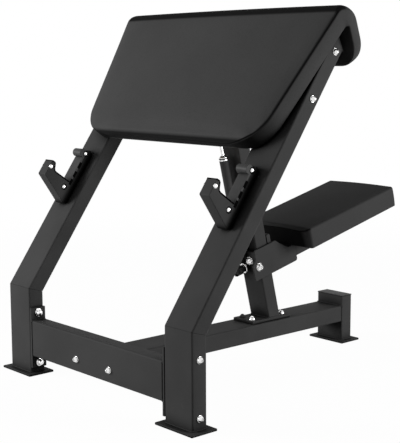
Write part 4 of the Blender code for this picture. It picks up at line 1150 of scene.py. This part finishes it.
BEAD_STEP = 0.0013
BEAD_SIDES = 7
RIPPLE_STEPS = 3.2
RIPPLE = 0.10
ROUGHNESS = 0.12
ROUGHNESS_SCALE = 160
FRAME_BEAD = 0.0021
SLEEVE_BEAD = 0.0018
SLEEVE_BEAD_UP = 0.1845
SLEEVE_BEAD_ENDS = (0.062, 0.115)


def bead_line(points, closed):
    """Points along a line, one for each step of the bead."""
    line = []
    count = len(points) if closed else len(points) - 1
    for index in range(count):
        start = Vector(points[index])
        stop = Vector(points[(index + 1) % len(points)])
        steps = max(1, int((stop - start).length / BEAD_STEP))
        line += [start.lerp(stop, step / steps) for step in range(steps)]
    if not closed:
        line.append(Vector(points[-1]))
    return line


def weld(bm, points, radius, closed=True):
    """A rippled bead along a line of points."""
    line = bead_line(points, closed)
    rings = []
    total = len(line)
    for index, spot in enumerate(line):
        after = line[(index + 1) % total] if closed or index < total - 1 else spot
        before = line[index - 1] if closed or index else spot
        along = (after - before).normalized()
        across = along.orthogonal() if abs(along.z) > 0.9 else Vector((-along.y, along.x, 0))
        across.normalize()
        other = along.cross(across)
        ripple = RIPPLE * sin(index * 2 * pi / RIPPLE_STEPS)
        reach = radius * (1 + ripple + ROUGHNESS * noise.noise(spot * ROUGHNESS_SCALE))
        ring = []
        for step in range(BEAD_SIDES):
            angle = 2 * pi * step / BEAD_SIDES
            ring.append(bm.verts.new(spot + across * reach * cos(angle) + other * reach * sin(angle)))
        rings.append(ring)
    loft(bm, rings, closed)


def tube_outline(width, depth):
    """The outline of a box tube about its middle."""
    points = []
    for x, y, start in ((1, 1, 0), (-1, 1, pi / 2), (-1, -1, pi), (1, -1, 3 * pi / 2)):
        centre = (x * (width / 2 - TUBE_CORNER), y * (depth / 2 - TUBE_CORNER))
        points += arc(centre, TUBE_CORNER, start, start + pi / 2, 3)
    return points


def weld_round(bm, ground, width, depth, place):
    """A bead round a tube where it stands on a face; place turns the face's own XY into ground."""
    weld(bm, [ground @ place @ Vector((x, y, 0)) for x, y in tube_outline(width, depth)], FRAME_BEAD)


def make_welds(material):
    """The beads that join the frame's tubes and plates, and the seat rail to its sleeve."""
    bm = bmesh.new()
    along_y = tilt(-pi / 2, "X")
    along_x = tilt(pi / 2, "Y")
    for side, _ in SIDES:
        place = move(side * UPRIGHT_X, TUBE_DEPTH / 2, FOOT_BEAD_Z)
        weld_round(bm, BENCH, UPRIGHT_WIDTH, TUBE_DEPTH, place)
        x = side * (HALF_WIDTH - UPRIGHT_WIDTH - FLANGE - 2 * GAP)
        for ground, middle in ((BENCH, FRONT_BEAM_Z), (ON_SLOPE, UPPER_BEAM_S)):
            place = move(x, TUBE_DEPTH / 2, middle) @ along_x
            weld_round(bm, ground, BEAM_HEIGHT, TUBE_DEPTH, place)
    middle = SPINE_TOP - SPINE_HEIGHT / 2
    for y in (SPINE_FRONT_Y, SPINE_REAR_Y):
        weld_round(bm, BENCH, SPINE_WIDTH, SPINE_HEIGHT, move(0, y, middle) @ along_y)
    weld_round(bm, BENCH, POST_WIDTH, POST_DEPTH, move(0, POST_MIDDLE_Y, FOOT_BEAD_Z))
    foot_v = (FLANGE + 2 * GAP) / cos(LEAN)
    place = move(0, COLUMN_DEPTH / 2, foot_v + COLUMN_DEPTH / 2 * tan(-LEAN))
    place = place @ tilt(-LEAN, "X")
    weld_round(bm, ON_COLUMN, COLUMN_WIDTH, COLUMN_DEPTH / cos(LEAN), place)
    piece("frame_weld_beads", bm, "frame", material)
    sleeve = bmesh.new()
    for side, _ in SIDES:
        x = side * (COLUMN_WIDTH / 2)
        points = [ON_COLUMN @ Vector((x, y, SLEEVE_BEAD_UP)) for y in SLEEVE_BEAD_ENDS]
        weld(sleeve, points, SLEEVE_BEAD, closed=False)
    piece("carriage_weld_beads", sleeve, "seat_carriage", material)


def dress_nodes(finishes):
    """Give each CAD node that stays its finish, and round its edges."""
    slots = {row["node"]: row["material_slot"] for row in frame["record"]["subparts"]}
    special = {"arm_pad_board": plywood("pad_board_finish", SLOPE),
               "seat_board": plywood("seat_board_finish", pi / 2 - LEAN),
               "bar_holder_left": finishes["bar_holder"], "bar_holder_right": finishes["bar_holder"]}
    for name, obj in nodes.items():
        material = special.get(name) or finishes[slots[name]]
        obj.data.materials.clear()
        obj.data.materials.append(material)
        if obj.hide_render:
            continue
        custom = obj.data.attributes.get("custom_normal")
        if custom is not None:
            obj.data.attributes.remove(custom)
        obj.data.shade_smooth()
        ease_edges(obj, 0.0005)


make_camera()
make_surround(ambient=0.05)
make_floor(floor_finish(glow=0.975))
for lamp in LAMPS:
    area_light(*lamp)

coat = powder_coat("powder_coat_finish", 0.045)
holder_coat = powder_coat("bar_holder_finish", 0.045, painted_contact_shadow=True)
pad_cover = vinyl("arm_pad_vinyl_finish", 0.054)
seat_cover = vinyl("seat_vinyl_finish", 0.044)
cap_plastic = moulded("black_plastic_finish", 0.024, 0.032)
knob_plastic = moulded("knob_finish", 0.003, 0.006)
lining_rubber = moulded("lining_rubber_finish", 0.002, 0.004, gloss=0.0)
liner_plastic = moulded("grey_plastic_finish", 0.034, 0.042, wear=0.12)
plating = chrome()
finishes = {
    "bar_holder": holder_coat,
    "black_powder_coat": coat,
    "black_vinyl": pad_cover,
    "black_plastic": cap_plastic,
    "grey_plastic": liner_plastic,
    "chrome": plating,
}

pad_skin = Skin(pad_rows(), PAD_EDGES, 44, PAD_END_SHADES)
cushion("arm_pad", "arm_pad_cushion", "frame", pad_skin, ON_SLOPE, pad_cover,
        cap=0.0030, groove=0.0026)
seat_skin = Skin(seat_rows(), SEAT_EDGES, 20, SEAT_END_SHADES)
cushion("seat_pad", "seat_cushion", "seat_carriage", seat_skin, ON_COLUMN, seat_cover,
        cap=0.0030, groove=0.0022)
make_bolts(plating, coat)
make_holder_pins(plating, lining_rubber)
make_holder_linings(lining_rubber)
make_pull_pin(plating, knob_plastic)
make_strut_collar(plating, cap_plastic)
make_welds(coat)
dress_nodes(finishes)

bpy.context.scene.view_settings.view_transform = "Standard"
